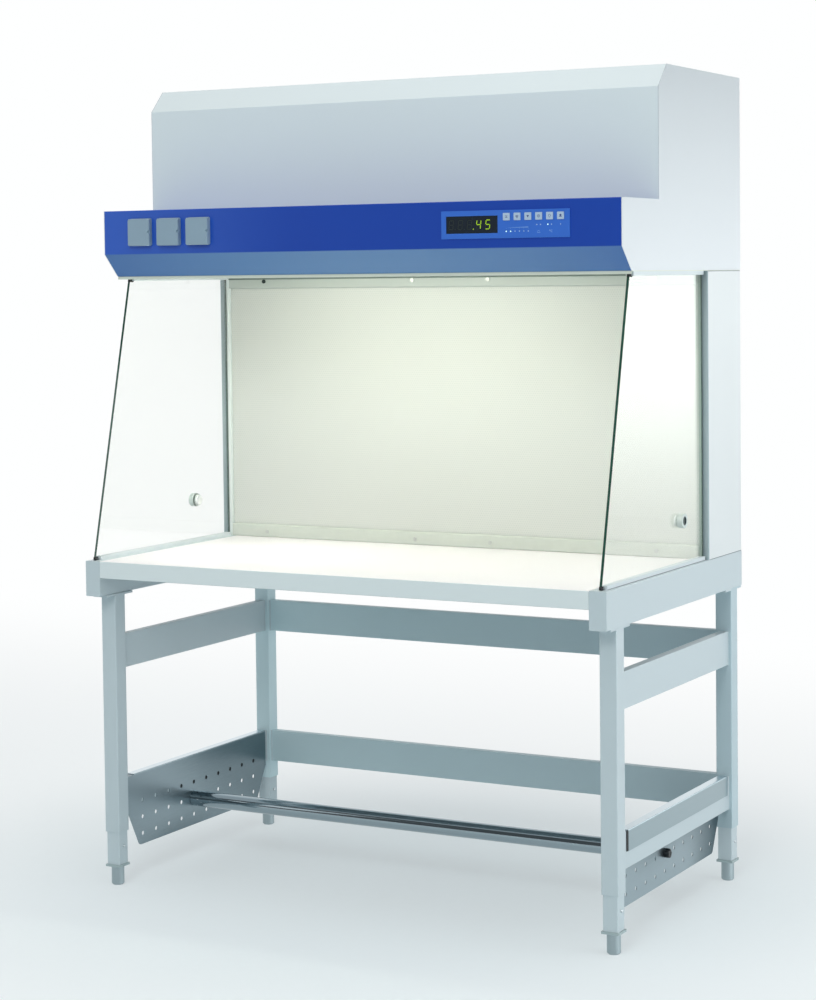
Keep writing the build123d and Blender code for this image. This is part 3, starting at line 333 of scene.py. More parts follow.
# %% The laminate and the metals
cream_laminate = laminate("cream_laminate", tint(248, 244, 246), tint(228, 235, 235), tint(152, 158, 160))
plate_steel = plate_metal("plate_steel")
tube_steel = brushed("tube_steel", tint(166, 181, 188), "X", 0.085, 300.0, 0.000003)
foot_steel = brushed("foot_steel", tint(182, 197, 202), "Z", 0.42, 420.0)
zinc = brushed("zinc", tint(178, 184, 186), "Z", 0.36, 300.0)
anodised = brushed("anodised", tint(226, 233, 236), "Y", 0.4, 600.0)
turned = brushed("turned_aluminium", tint(196, 200, 204), "X", 0.3, 380.0)
screw_steel = screw_zinc("screw_steel")
print("metals:", [m.name for m in (plate_steel, tube_steel, foot_steel, zinc, anodised, turned, screw_steel)])


# %% [markdown]
# ## Glass
# A pane is clear through its faces and dark green through its edges, because an edge shows the length of the
# glass and not its thickness. The normal tells the two apart: faces look along X, edges don't. Lamps have to
# shine through, so rays that look for a lamp meet a plain see-through shader in place of the bending one.

# %% Pane and edge
def pane(name):
    """Glass with a mirror and a bend for the eye, open to lamps, and a deep green solid at the edges."""
    finish = Finish(name)
    facing = finish.node("NewGeometry", output="Normal")
    across = finish.node("SeparateXYZ", {}, {"Vector": facing}, 0)
    edge = (across * across) < 0.5
    streak = finish.noise(30.0, 2.0, (1, 1, 0.2))
    rim = finish.node("BsdfPrincipled", {}, {
        "Base Color": finish.blend(tint(30, 62, 52), tint(52, 92, 78), streak), "Roughness": 0.12,
        "Coat Weight": 0.5, "Coat Roughness": 0.05})
    clear = finish.node("BsdfPrincipled", {}, {
        "Base Color": tint(253, 255, 254), "Roughness": 0.0, "IOR": 1.5, "Transmission Weight": 1.0})
    open_pane = finish.node("BsdfTransparent", {}, {"Color": tint(250, 253, 251)})
    body = finish.node("MixShader", {}, {0: finish.ray("Shadow"), 1: clear, 2: open_pane})
    return finish.close(finish.node("MixShader", {}, {0: edge, 1: body, 2: rim}))


clear_glass = pane("clear_glass")
print("glass:", clear_glass.name)


# %% [markdown]
# ## Rubber, plastics and papers
# Moulded plastic has a spark-eroded texture, finer than powder coat. Rubber is matt and slightly dusty. The
# filter paper is soft and nearly white, and the foam mat is open and dark in its pores.

# %% Plastics, rubber and filter media
PLUG_HEAD_END, COLLAR_FACE, MOUTH_RADIUS = 0.6424, 0.6605, 0.010
port_low, port_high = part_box("port_grommets")
port_axis = (port_low + port_high) / 2


def moulded(name, colour, roughness=0.45, grain=1400.0, depth=0.00004, coat=0.0):
    """Moulded plastic: a fine even grain as a bump, and a roughness that follows it."""
    finish = Finish(name)
    pores = finish.noise(grain, 1.0)
    colour = finish.blend(colour, darker(colour, 0.93), finish.noise(14.0, 2.0))
    return finish.skin(colour, roughness + 0.1 * (pores - 0.5), pores, depth, 0.4, {
        "Coat Weight": coat, "Coat Roughness": 0.08})


def plastic_with_painted_shade(name, pale, dark, mask):
    """Moulded plastic with painted shade: dark where the mask, a function of the finish, is 1."""
    finish = Finish(name)
    pores = finish.noise(1400.0, 1.0)
    colour = finish.blend(pale, dark, mask(finish))
    return finish.skin(colour, 0.45 + 0.1 * (pores - 0.5), pores, 0.00004, 0.4)


def plug_stem_shade(finish):
    """A plug beyond its head, where it lies in the bore: painted shade there."""
    return abs(finish.axis("X")) > PLUG_HEAD_END


def collar_mouth_shade(finish):
    """Painted shade in the collar's mouth: its outer end near the port's axis, y^2 + z^2 < radius^2 there."""
    across, up = finish.axis("Y") - port_axis.y, finish.axis("Z") - port_axis.z
    return (across * across + up * up < MOUTH_RADIUS ** 2) * (abs(finish.axis("X")) > COLLAR_FACE)


# %% [markdown]
# Foil and dark windows are smoother than cast plastic, and foam and paper are far rougher.

# %% The plastics and the papers
black_rubber = moulded("black_rubber", tint(34, 38, 40), 0.62)
seal_rubber = moulded("seal_rubber", tint(86, 100, 96), 0.6)
# Grey for a painted shadow: the strip in the gap over the diffuser.
gap_shadow_grey = moulded("gap_shadow_grey", tint(120, 134, 126), 0.8)
sealant_grey = moulded("sealant_grey", tint(132, 142, 146), 0.7)
black_plastic = moulded("black_plastic", tint(28, 31, 34), 0.4)
lid_plastic = moulded("lid_plastic", tint(146, 168, 184), 0.42)
panel_foil = moulded("panel_foil", tint(52, 110, 210), 0.34, 2200.0, 0.00002)
key_plastic = moulded("key_plastic", tint(183, 202, 224), 0.4)
window_tint = moulded("window_tint", tint(34, 42, 52), 0.16, 300.0, 0.000004)
circuit_green = moulded("circuit_green", tint(40, 104, 66), 0.35)
filter_paper = moulded("filter_paper", tint(236, 236, 230), 0.9, 500.0, 0.0002)
filter_foam = moulded("filter_foam", tint(112, 120, 124), 0.95, 260.0, 0.0008)
plug_white = plastic_with_painted_shade("plug_white", tint(233, 236, 236), tint(62, 80, 84), plug_stem_shade)
collar_white = plastic_with_painted_shade("collar_white", tint(206, 215, 210), tint(52, 70, 74), collar_mouth_shade)
print("dark parts end at", PLUG_HEAD_END, "on the plugs and start at", COLLAR_FACE, "on the collars")


# %% [markdown]
# ## The diffuser's sheet
# Behind the work area stands a perforated steel sheet. Its holes are real ones here, and they open on a
# slightly darker ground, painted shade behind the holes, so the sheet itself stays plain enamel. The ground
# is the field of the CAD tray between its two fixing bands: a mask on height and width darkens only that
# field.

# %% Tray with a darker ground behind the holes
BAND, FIELD_MARGIN, TRAY_FIELD_Y = 0.0322, 0.0012, 0.1955
grille_low, grille_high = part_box("diffuser_grille")
FIELD_LOW, FIELD_HIGH = grille_low.z + BAND, grille_high.z - BAND
FIELD_HALF = grille_high.x - FIELD_MARGIN


def diffuser_enamel(name):
    """Pale enamel on the bands, and a grey ground of painted shade in the field: ground where |x|, z lie
    inside it.
    """
    finish = Finish(name)
    height, width = finish.axis("Z"), finish.axis("X")
    inside = (height > FIELD_LOW) * (height < FIELD_HIGH) * (width * width < FIELD_HALF ** 2)
    cloud = finish.noise(60.0, 2.0)
    ground = finish.blend(tint(204, 209, 203), tint(209, 214, 208), cloud)
    band = finish.blend(tint(202, 208, 199), tint(196, 202, 193), cloud)
    # Painted shade: the top band, under the ceiling, is darker still.
    band = finish.blend(band, tint(184, 192, 186), height > FIELD_HIGH)
    colour = finish.blend(band, ground, inside * (finish.axis("Y") > TRAY_FIELD_Y))
    peel = finish.noise(760.0, 1.0)
    return finish.skin(colour, 0.45 + 0.08 * (peel - 0.5), peel, 0.00005, 0.35)


grille_ground = diffuser_enamel("diffuser_enamel")
grille_enamel = powder_coat("grille_enamel", tint(218, 221, 215), 0.45)
print("diffuser:", grille_ground.name, grille_enamel.name)


# %% [markdown]
# ## The lamp
# The tube over the chamber is what makes the worktop glow. Its glass gives warm white light along its length,
# and its end caps are plain metal, so a mask on X keeps the light off them.

# %% Lamp tube
def tube_glass(name, half_lit, strength):
    """A lit phosphor tube: emission where |x| is less than half_lit, bare metal beyond."""
    finish = Finish(name)
    width = finish.axis("X")
    lit = (width * width) < half_lit ** 2
    glow = finish.blend(tint(255, 246, 222), tint(255, 250, 232), finish.noise(12.0, 1.0, (0.3, 1, 1)))
    return finish.skin(finish.blend(tint(170, 174, 176), tint(246, 246, 240), lit), 0.3, others={
        "Emission Color": finish.blend(tint(0, 0, 0), glow, lit), "Emission Strength": strength})


lamp_glass = tube_glass("lamp_glass", 0.586, 9.5)
print("lamp:", lamp_glass.name)


# %% [markdown]
# ## Handing the finishes to the CAD nodes
# A node whose shape is right only needs a better material. One table says which finish goes where.

# %% Dress the CAD nodes
SIDES = ("left", "right")
CORNERS = ("front_left", "front_right", "rear_left", "rear_right")
finishes = {
    white_enamel: ["hood_shell", "back_panel", "lamp_tray"],
    cheek_enamel: [f"cheek_{side}" for side in SIDES],
    post_enamel: ["chamber_posts"],
    case_enamel: ["plenum_case"],
    lip_enamel: ["chamber_ceiling"],
    screw_steel: ["grille_screws"],
    stand_enamel: [f"side_rail_{side}" for side in SIDES],
    frame_enamel: ["side_frame_left", "side_frame_right", "rear_bar_upper", "rear_bar_lower"],
    leg_enamel: [f"inner_leg_{corner}" for corner in CORNERS],
    blue_enamel: ["lamp_box"],
    cream_laminate: ["work_surface"],
    grille_ground: ["diffuser_grille"],
    plate_steel: [f"hook_plate_{side}" for side in SIDES],
    tube_steel: ["footrest_tube"],
    foot_steel: [f"foot_{corner}" for corner in CORNERS],
    zinc: ["leg_lock_screws", "fan_deck", "fan_motor"],
    channel_enamel: ["glass_channels"],
    anodised: ["filter_frame"],
    turned: ["fan_impeller"],
    clear_glass: [f"side_glass_{side}" for side in SIDES],
    seal_rubber: ["glass_seals"],
    black_plastic: ["footrest_knob_left", "footrest_knob_right", "mains_inlet"],
    collar_white: ["port_grommets"],
    plug_white: [f"port_plug_{side}" for side in SIDES],
    lid_plastic: ["socket_bases"] + [f"socket_lid_{number}" for number in range(1, 4)],
    panel_foil: ["control_panel"],
    key_plastic: [f"key_{number}" for number in range(1, 7)],
    window_tint: ["display_window"],
    circuit_green: ["control_board"],
    filter_paper: ["filter_pleats"],
    filter_foam: ["prefilter"],
    lamp_glass: ["lamp_tube"],
}
for material, names in finishes.items():
    for name in names:
        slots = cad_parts[name].data.materials
        slots.clear()
        slots.append(material)
bare = sorted(set(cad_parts) - {name for names in finishes.values() for name in names})
print("nodes still without a finish:", bare)


# %% [markdown]
# ## Turning arrays into meshes
# Every new shape below is worked out as whole arrays of points and faces. These helpers put them into a mesh,
# give it a finish, and let it ride on its body.

# %% Helpers that make a piece
def new_object(name, points, faces, material, smooth=False):
    """Points are an (n, 3) array in metres. Faces are rows of indices, of equal or unequal length."""
    mesh = bpy.data.meshes.new(name)
    mesh.from_pydata(np.asarray(points, float).tolist(), [], faces)
    mesh.polygons.foreach_set("use_smooth", np.full(len(mesh.polygons), smooth))
    mesh.materials.append(material)
    mesh.validate()
    mesh.update()
    made = bpy.data.objects.new(name, mesh)
    bpy.context.scene.collection.objects.link(made)
    print(name, len(points), "points", len(faces), "faces")
    return made


def make_piece(name, points, faces, material, slot, body="bench", smooth=False):
    """A piece of the part and the body that it rides on. The slot is not used."""
    piece = new_object(name, points, faces, material, smooth)
    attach(piece, body)
    return piece


def gather(parts):
    """Several (points, faces) pairs as one: each pair's indices are moved past the points before it."""
    points, faces, start = [], [], 0
    for some_points, some_faces in parts:
        points.append(np.asarray(some_points, float))
        faces.extend([[index + start for index in row] for row in some_faces])
        start += len(some_points)
    return np.concatenate(points), faces


# %% [markdown]
# ## Twenty-four thousand holes
# A perforated sheet has staggered rows of holes. Cut it into bricks with one hole each, every second row
# shifted by half a brick. A brick has six points on its rim, its four corners and the middles of its long
# sides, where the bricks above and below meet. So a six-sided hole joins it with six clean quads, and every
# point is shared with the neighbours. The half bricks at the row ends stay whole.

# %% Perforated sheet
PITCH = 0.0060
ROW = PITCH * math.sqrt(3) / 2
HOLE = 0.0016
# The sheet stops this far short of the field's top and bottom, where the darker ground shows as a painted
# shadow line.
SHADOW_LINE = 0.0016
SHEET_Y = grille_low.y + 0.0087
SHEET_LOW, SHEET_HIGH = FIELD_LOW + SHADOW_LINE, FIELD_HIGH - SHADOW_LINE


def perforated_sheet(low_z, high_z):
    """Lattice at (i * pitch / 2, j * row); hole points at each brick's centre + radius * (cos, sin)."""
    columns = int(2 * FIELD_HALF / PITCH)
    rows = int((high_z - low_z) / ROW)
    step_x = 2 * FIELD_HALF / (2 * columns)
    step_z = (high_z - low_z) / rows
    across, up = np.meshgrid(np.arange(2 * columns + 1), np.arange(rows + 1))
    level = np.full(across.shape, SHEET_Y)
    lattice = np.stack([across * step_x - FIELD_HALF, level, up * step_z + low_z], -1).reshape(-1, 3)
    width = 2 * columns + 1
    brick, row = np.meshgrid(np.arange(columns), np.arange(rows))
    odd = row % 2
    keep = ~((odd == 1) & (brick == columns - 1))
    left, low = (2 * brick + odd)[keep], row[keep]
    first = low * width + left
    rim = np.stack([first, first + 1, first + 2, first + 2 + width, first + 1 + width, first + width], 1)
    angles = np.radians([210, 270, 330, 30, 90, 150])
    hole_x = ((left + 1) * step_x - FIELD_HALF)[:, None] + HOLE * np.cos(angles)
    hole_z = ((low + 0.5) * step_z + low_z)[:, None] + HOLE * np.sin(angles)
    holes = np.stack([hole_x, np.full(hole_x.shape, SHEET_Y), hole_z], -1).reshape(-1, 3)
    ring = len(lattice) + np.arange(len(first) * 6).reshape(-1, 6)
    quads = np.stack([rim, np.roll(rim, -1, 1), np.roll(ring, -1, 1), ring], -1).reshape(-1, 4)
    odd_rows = np.arange(1, rows, 2)
    ends = [odd_rows * width, odd_rows * width + width - 2]
    plain = np.concatenate([np.stack([e, e + 1, e + 1 + width, e + width], 1) for e in ends])
    return np.concatenate([lattice, holes]), np.concatenate([quads, plain]).tolist()


sheet_middle = (SHEET_LOW + SHEET_HIGH) / 2
for name, limits in (("lower", (SHEET_LOW, sheet_middle)), ("upper", (sheet_middle, SHEET_HIGH))):
    make_piece(f"diffuser_perforation_{name}", *perforated_sheet(*limits), grille_enamel, "grille_enamel")


# %% [markdown]
# ## Beads, clips and wires
# A bead of sealant, a wire and a weld are all one thing: a small profile carried along a path. At each point
# of the path the profile stands square to it, and neighbouring rings are joined by quads.

# %% Carry a profile along a path
def swept(path, profile, closed=False):
    """Ring j = path[j] + u * side + v * up, with (u, v) round the profile; side and up stand on the path."""
    path = np.asarray(path, float)
    profile = np.asarray(profile, float)
    ahead = np.roll(path, -1, 0) - path
    behind = path - np.roll(path, 1, 0)
    if not closed:
        ahead[-1] = behind[-1]
        behind[0] = ahead[0]
    along = ahead / np.linalg.norm(ahead, axis=1, keepdims=True)
    along = along + behind / np.linalg.norm(behind, axis=1, keepdims=True)
    along /= np.linalg.norm(along, axis=1, keepdims=True)
    upright = np.where(np.abs(along[:, 2:3]) > 0.9, [[0.0, 1.0, 0.0]], [[0.0, 0.0, 1.0]])
    side = np.cross(along, upright)
    side /= np.linalg.norm(side, axis=1, keepdims=True)
    up = np.cross(side, along)
    rings = path[:, None] + profile[None, :, :1] * side[:, None] + profile[None, :, 1:] * up[:, None]
    count, size = len(path), len(profile)
    ring, place = np.meshgrid(np.arange(count if closed else count - 1), np.arange(size), indexing="ij")
    after, beside = (ring + 1) % count, (place + 1) % size
    corners = [ring * size + place, after * size + place, after * size + beside, ring * size + beside]
    faces = np.stack(corners, -1).reshape(-1, 4).tolist()
    if not closed:
        faces.append(list(range(size)))
        faces.append(list(range(count * size - 1, count * size - size - 1, -1)))
    return rings.reshape(-1, 3), faces


# %% [markdown]
# Wires, rounded bars and turned pieces share three outlines: a circle, a quarter of one, and a rectangle with
# a quarter at each corner. A stack of such outlines gets its faces from one more helper.

# %% Outlines, and faces for a stack of them
def circle(sides):
    """Unit vectors (cos, sin) once round, as rows."""
    turn = np.linspace(0, 2 * math.pi, sides, endpoint=False)
    return np.stack([np.cos(turn), np.sin(turn)], 1)


def quarter(steps, start=0):
    """Unit vectors over a quarter of a circle, begun `start` quarters round."""
    turn = np.linspace(0, math.pi / 2, steps) + start * math.pi / 2
    return np.stack([np.cos(turn), np.sin(turn)], 1)


def soft_rectangle(centre, half, corner, lean=0.0, steps=4):
    """Outline of a rectangle with arcs at its corners, sheared by `lean` metres per metre of height."""
    signs = np.array([(1, 1), (-1, 1), (-1, -1), (1, -1)])
    inner = signs * (np.asarray(half) - corner)
    outline = np.concatenate([corner * quarter(steps, start) + inner[start] for start in range(4)])
    outline[:, 0] += outline[:, 1] * lean
    return outline + centre


def joined(rings, sides):
    """Faces of a stack of closed rings of points: quads between neighbours, and a lid at either end."""
    ring, place = np.meshgrid(np.arange(rings - 1) * sides, np.arange(sides), indexing="ij")
    beside = (place + 1) % sides
    corners = [ring + place, ring + beside, ring + sides + beside, ring + sides + place]
    quads = np.stack(corners, -1).reshape(-1, 4).tolist()
    return quads + [list(range(sides - 1, -1, -1)), list(range((rings - 1) * sides, rings * sides))]


print("a ring of a 2 mm wire:", (0.001 * circle(4)).round(4).tolist())


# %% [markdown]
# ## Sealant along the glass channels
# A thin dark bead closes the joint between each lower channel and the rail under it.

# %% Sealant beads
BEAD_RADIUS = 0.0008
channel_low, channel_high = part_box("glass_channels")
beads = []
for side in (-1, 1):
    bead_path = np.empty((40, 3))
    bead_path[:] = side * (channel_high.x + 0.0003), 0.0, channel_low.z + 0.0002
    bead_path[:, 1] = np.linspace(channel_low.y, channel_high.y, 40)
    beads.append(swept(bead_path, BEAD_RADIUS * circle(8)))
make_piece("channel_sealant", *gather(beads), sealant_grey, "black_rubber", smooth=True)


# %% [markdown]
# ## Dark strips over the diffuser and on the hook plates
# A grey strip in the gap between the diffuser and the chamber's ceiling is a painted shadow; just under the
# lip it shows as a dark line. The hook plates hang over the crossbars, and a black strip stands at the front
# end of each hook. A thin black sheet between plate and bar is painted shade that shows black through seven
# holes of the top row. All are rounded bars carried along straight paths.

# %% Shadow strips and hook strips
def soft_bar(start, end, half_side, half_up, corner=0.0006):
    """A rectangle with arcs at its corners, carried from start to end."""
    return swept([start, end], soft_rectangle((0.0, 0.0), (half_side, half_up), corner))


gap_shadow_y = grille_low.y - 0.0008
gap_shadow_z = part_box("chamber_ceiling")[0].z - 0.0024
gap_shadow = soft_bar((-grille_high.x, gap_shadow_y, gap_shadow_z), (grille_high.x, gap_shadow_y, gap_shadow_z), 0.0012, 0.0018)
make_piece("diffuser_gap_shadow", *gap_shadow, gap_shadow_grey, "black_rubber")
STRIP_START, STRIP_END = np.array([0.6541, -0.2680, 0.2090]), np.array([0.6541, -0.2680, 0.2525])
SHADE_SHEET_START, SHADE_SHEET_END = np.array([0.63292, -0.0930, 0.1850]), np.array([0.63292, 0.2710, 0.1850])
MIRRORS = np.array([(-1, 1, 1), (1, 1, 1)])
strips = [soft_bar(STRIP_START * sign, STRIP_END * sign, 0.0010, 0.0040) for sign in MIRRORS]
# A thin black sheet behind the top row of holes: painted shade.
strips += [soft_bar(SHADE_SHEET_START * sign, SHADE_SHEET_END * sign, 0.00008, 0.0068, 0.00004) for sign in MIRRORS]
make_piece("hook_plate_strips", *gather(strips), black_rubber, "black_rubber")


# %% [markdown]
# ## Prints, digits and small lamps on the panel
# The display is a seven-segment block behind dark glass. Each segment is a flat bar with pointed ends, and a
# digit leans over by a few degrees, as on the real block. Lit segments glow, and unlit ones show as faint
# ghosts. Prints and segments are thin prisms, so that they have an edge and a closed back.

# %% Flat outlines made into thin prisms
def prism(outline, front, back):
    """Outline points (x, z), counter-clockwise seen from the front, copied to y = front and y = back."""
    outline = np.asarray(outline, float)
    count = len(outline)
    ring = np.arange(count)
    after = (ring + 1) % count
    walls = np.stack([ring, ring + count, after + count, after], 1).tolist()
    points = np.concatenate([np.insert(outline, 1, depth, axis=1) for depth in (front, back)])
    return points, [ring.tolist(), (ring[::-1] + count).tolist()] + walls


def prisms(outlines, front, back):
    """All the prisms of one piece."""
    return gather([prism(outline, front, back) for outline in outlines])


def disc(centre_x, centre_z, radius, sides=16):
    """Outline of a circle: centre + radius * (cos, sin)."""
    return radius * circle(sides) + [centre_x, centre_z]


def stroke(points, width):
    """A line of a given width as an outline: the path moved to both sides along its normal."""
    points = np.asarray(points, float)
    heading = np.gradient(points, axis=0)
    heading /= np.linalg.norm(heading, axis=1, keepdims=True)
    normal = np.stack([-heading[:, 1], heading[:, 0]], 1) * width / 2
    return np.concatenate([points - normal, (points + normal)[::-1]])


def arc(centre_x, centre_z, radius, start, end, width, steps=14):
    """A stroke along part of a circle, from start to end in degrees."""
    turn = np.radians(np.linspace(start, end, steps))
    path = radius * np.stack([np.cos(turn), np.sin(turn)], 1) + [centre_x, centre_z]
    return stroke(path, width)


def level(x, z, reach, width):
    """A level stroke to `reach` on both sides of a point."""
    return stroke([[x - reach, z], [x + reach, z]], width)


print("a disc has", len(disc(0, 0, 1)), "points")

# %% [markdown]
# A digit is seven copies of one bar, laid level or upright. Working out the bar once and moving it keeps the
# gaps between the segments even. Two digits and a point are lit; the other segments stay dark.

# %% Seven segments
DIGIT_WIDTH, DIGIT_HEIGHT, DIGIT_PITCH, LAST_DIGIT_X = 0.0098, 0.0192, 0.0222, 0.3512
SEGMENT, POINT_OFFSET = 0.0019, 0.0128
LEAN = math.tan(math.radians(7))
SEGMENTS_OF = {"5": "acdfg", "4": "bcfg"}
ALL_SEGMENTS = "abcdefg"


def segment_outline(letter, centre_x, centre_z):
    """A bar with two pointed ends, laid level or upright at its place in the digit and then leaned over."""
    half_w, half_h = DIGIT_WIDTH / 2, DIGIT_HEIGHT / 2
    places = {"a": (0, half_h, 0), "g": (0, 0, 0), "d": (0, -half_h, 0), "b": (half_w, half_h / 2, 1),
              "c": (half_w, -half_h / 2, 1), "e": (-half_w, -half_h / 2, 1), "f": (-half_w, half_h / 2, 1)}
    x, z, upright = places[letter]
    reach = (half_h / 2 if upright else half_w) - 0.00035
    wide = SEGMENT / 2
    bar = np.array([[-reach, 0], [wide - reach, -wide], [reach - wide, -wide], [reach, 0],
                    [reach - wide, wide], [wide - reach, wide]])
    if upright:
        bar = np.stack([-bar[:, 1], bar[:, 0]], 1)
    bar = bar + [x, z]
    bar[:, 0] += bar[:, 1] * LEAN
    return bar + [centre_x, centre_z]


def glowing(name, dark, light, strength):
    """A small lit thing: its own colour with an even glow, a little uneven like a real light pipe."""
    finish = Finish(name)
    cloud = finish.noise(900.0, 1.0)
    return finish.skin(finish.blend(dark, light, cloud), 0.35, others={
        "Emission Color": finish.blend(dark, light, 0.5 + 0.5 * cloud), "Emission Strength": strength})


window_low, window_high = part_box("display_window")
window_front = window_low.y
window_z = (window_low.z + window_high.z) / 2
point_z = window_z - DIGIT_HEIGHT / 2
digit_x = [LAST_DIGIT_X - DIGIT_PITCH * step for step in range(5)]
lit_segments, ghost_segments = [], []
for x, sign in zip(digit_x[:2], "54"):
    lit_segments += [segment_outline(letter, x, window_z) for letter in SEGMENTS_OF[sign]]
lit_segments.append(disc(digit_x[1] - POINT_OFFSET, point_z, 0.0013, 12))
for x, unlit in zip(digit_x[2:] + digit_x[:2], [ALL_SEGMENTS] * 3 + ["be", "ade"]):
    ghost_segments += [segment_outline(letter, x, window_z) for letter in unlit]
ghost_segments += [disc(x - POINT_OFFSET, point_z, 0.0012, 10) for x in digit_x[2:4]]
digit_glow = glowing("digit_glow", tint(120, 165, 14), tint(158, 190, 26), 0.55)
digit_ghost = moulded("digit_ghost", tint(34, 44, 43), 0.3, 300.0, 0.000004)
for name, outlines, material in (("display_lit_digits", lit_segments, digit_glow),
                                 ("display_unlit_digits", ghost_segments, digit_ghost)):
    make_piece(name, *prisms(outlines, window_front - 0.00012, window_front), material, "dark_window")

# %% [markdown]
# Beside the display are two rows of small lamps, a scale and three signs. The lamps are flat domes, so they
# catch the light as moulded lenses do. The signs are strokes, which need only a path and a width.

# %% Dots, scale and signs beside the display
panel_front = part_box("control_panel")[0].y
DOT_ROW_Z, LAMP_ROW_Z, SCALE_Z = 1.5300, 1.5433, 1.5378
LIT_RADIUS, PALE_RADIUS, DOT_HEIGHT = 0.0014, 0.0013, 0.0006
dots = [(0.3957 + 0.0105 * step, DOT_ROW_Z) for step in range(6)]
lamps = [(x, LAMP_ROW_Z) for x in (0.4684, 0.4772, 0.4943, 0.5030, 0.5244)]


def dome(centre_x, centre_z, radius, height, front, rings=4, sides=14):
    """A flat dome on a face: circle radius * cos(v), height * sin(v) forward of it."""
    rise = np.linspace(0, math.pi / 2, rings + 1)[:-1, None]
    across = radius * np.cos(rise)[..., None] * circle(sides)
    y = np.broadcast_to(front - height * np.sin(rise), across.shape[:2])
    points = np.stack([centre_x + across[..., 0], y, centre_z + across[..., 1]], -1).reshape(-1, 3)
    points = np.concatenate([points, [[centre_x, front - height, centre_z]]])
    *quads, back, top = joined(rings, sides)
    tip = [[top[i], top[(i + 1) % sides], rings * sides] for i in range(sides)]
    return points, quads + tip + [back]


lit_dot = glowing("lit_dot", tint(190, 240, 225), tint(225, 255, 240), 0.85)
pale_dot = moulded("pale_dot", tint(176, 206, 240), 0.3, coat=0.4)
for name, places, radius, material in (
        ("panel_lit_dots", dots[:2] + lamps[2:3], LIT_RADIUS, lit_dot),
        ("panel_pale_dots", dots[2:] + lamps[:2] + lamps[3:], PALE_RADIUS, pale_dot)):
    domes = [dome(x, z, radius, DOT_HEIGHT, panel_front) for x, z in places]
    make_piece(name, *gather(domes), material, "white_plastic", smooth=True)

first_x, last_x = dots[0][0], dots[5][0]
signs = [np.array([[first_x, 0.0], [last_x, 0.0], [last_x, 0.0014]]) + [0.0, SCALE_Z]]
signs += [stroke([[x, SCALE_Z - 0.0028], [x, SCALE_Z - 0.0012]], 0.0004) for x, z in dots]
signs += [arc(0.4990, 1.5306, 0.0012, 0, 340, 0.0006), arc(0.5036, 1.5290, 0.0022, 50, 310, 0.0008)]
signs += [arc(0.4728, 1.5270, 0.0034, 20, 160, 0.0007), level(0.4728, 1.5262, 0.0038, 0.0007)]
print_pale = moulded("print_pale", tint(140, 182, 236), 0.5)
make_piece("panel_prints", *prisms(signs, panel_front - 0.00010, panel_front), print_pale, "white_plastic")

# %% [markdown]
# Each key has a plain sign of its own, made of the same strokes and discs. It rides on its key, so that it
# moves with it.

# %% Signs on the keys
LINE = 0.0009
print_blue = moulded("print_blue", tint(58, 78, 138), 0.5)


def key_signs(x, z):
    """Six plain signs: bars, fan, triangle, ring, lamp and bell, each about seven millimetres wide."""
    bars = [level(x, z + shift, 0.0030, LINE) for shift in (-0.0017, 0.0017)]
    bars.append(stroke([[x, z - 0.0017], [x, z + 0.0017]], LINE))
    fan = [arc(x + 0.0016 * math.cos(turn), z + 0.0016 * math.sin(turn), 0.0016, 0, 330, 0.0008)
           for turn in (0.5, 2.6, 4.7)]
    triangle = [[[x - 0.0030, z + 0.0022], [x, z - 0.0030], [x + 0.0030, z + 0.0022]]]
    ring = [arc(x, z, 0.0028, 0, 350, LINE), disc(x, z, 0.0010, 10)]
    lamp = [arc(x, z + 0.0004, 0.0026, -50, 230, 0.0008), level(x, z - 0.0030, 0.0018, LINE)]
    bell = [disc(x, z + 0.0008, 0.0024, 14), level(x, z - 0.0022, 0.0032, 0.0012)]
    return [bars, fan, triangle, ring, lamp, bell]


for index in range(6):
    key = f"key_{index + 1}"
    key_low, key_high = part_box(key)
    middle = (key_low + key_high) / 2
    signs = prisms(key_signs(middle.x, middle.z)[index], key_low.y - 0.00008, key_low.y + 0.00002)
    make_piece(f"key_sign_{index + 1}", *signs, print_blue, "black_plastic", key)


# %% [markdown]
# ## Caps on the corners of the panes
# The front corners of each pane end in a small black rubber cap, so that nobody is cut by them. A cap is a
# rounded lozenge in side view with a thickness across the pane. Its two sides bulge slightly.

# %% Corner caps
def rounded_slab(side_view, centre_x, half_width, rounding=0.0012, rings=5):
    """Side view (y, z) shrunk towards its middle as it nears either face: an ellipse joins face and rim."""
    side_view = np.asarray(side_view, float)
    middle = side_view.mean(0)
    turn = np.linspace(-math.pi / 2, math.pi / 2, rings)
    reach = np.linalg.norm(side_view - middle, axis=1).mean()
    shrink = 1 - rounding / reach * (1 - np.cos(turn))
    offset = (half_width - rounding) * np.sign(np.sin(turn).round(6)) + rounding * np.sin(turn)
    layers = middle + (side_view - middle)[None] * shrink[:, None, None]
    x = np.broadcast_to(centre_x + offset[:, None], layers.shape[:2])
    points = np.concatenate([x[..., None], layers], -1).reshape(-1, 3)
    return points, joined(rings, len(side_view))


PANE_LEAN = 0.157 / 0.6572
glass_low, glass_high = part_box("side_glass_right")
pane_x = (glass_low.x + glass_high.x) / 2
low_corner = soft_rectangle((glass_low.y + 0.0036, glass_low.z + 0.0026), (0.0042, 0.0040), 0.0016, PANE_LEAN)
high_corner = soft_rectangle((-0.2190, glass_high.z - 0.0058), (0.0075, 0.0040), 0.002, PANE_LEAN)
caps = [rounded_slab(view, side * pane_x, 0.0038) for view in (low_corner, high_corner) for side in (-1, 1)]
make_piece("glass_corner_caps", *gather(caps), black_rubber, "black_rubber", smooth=True)


# %% [markdown]
# ## Star grips on the footrest
# The footrest is clamped by two star grips. Seen along its axis a grip is a circle with five soft waves; seen
# from the side it has a collar, a round shoulder and a slightly hollow face.

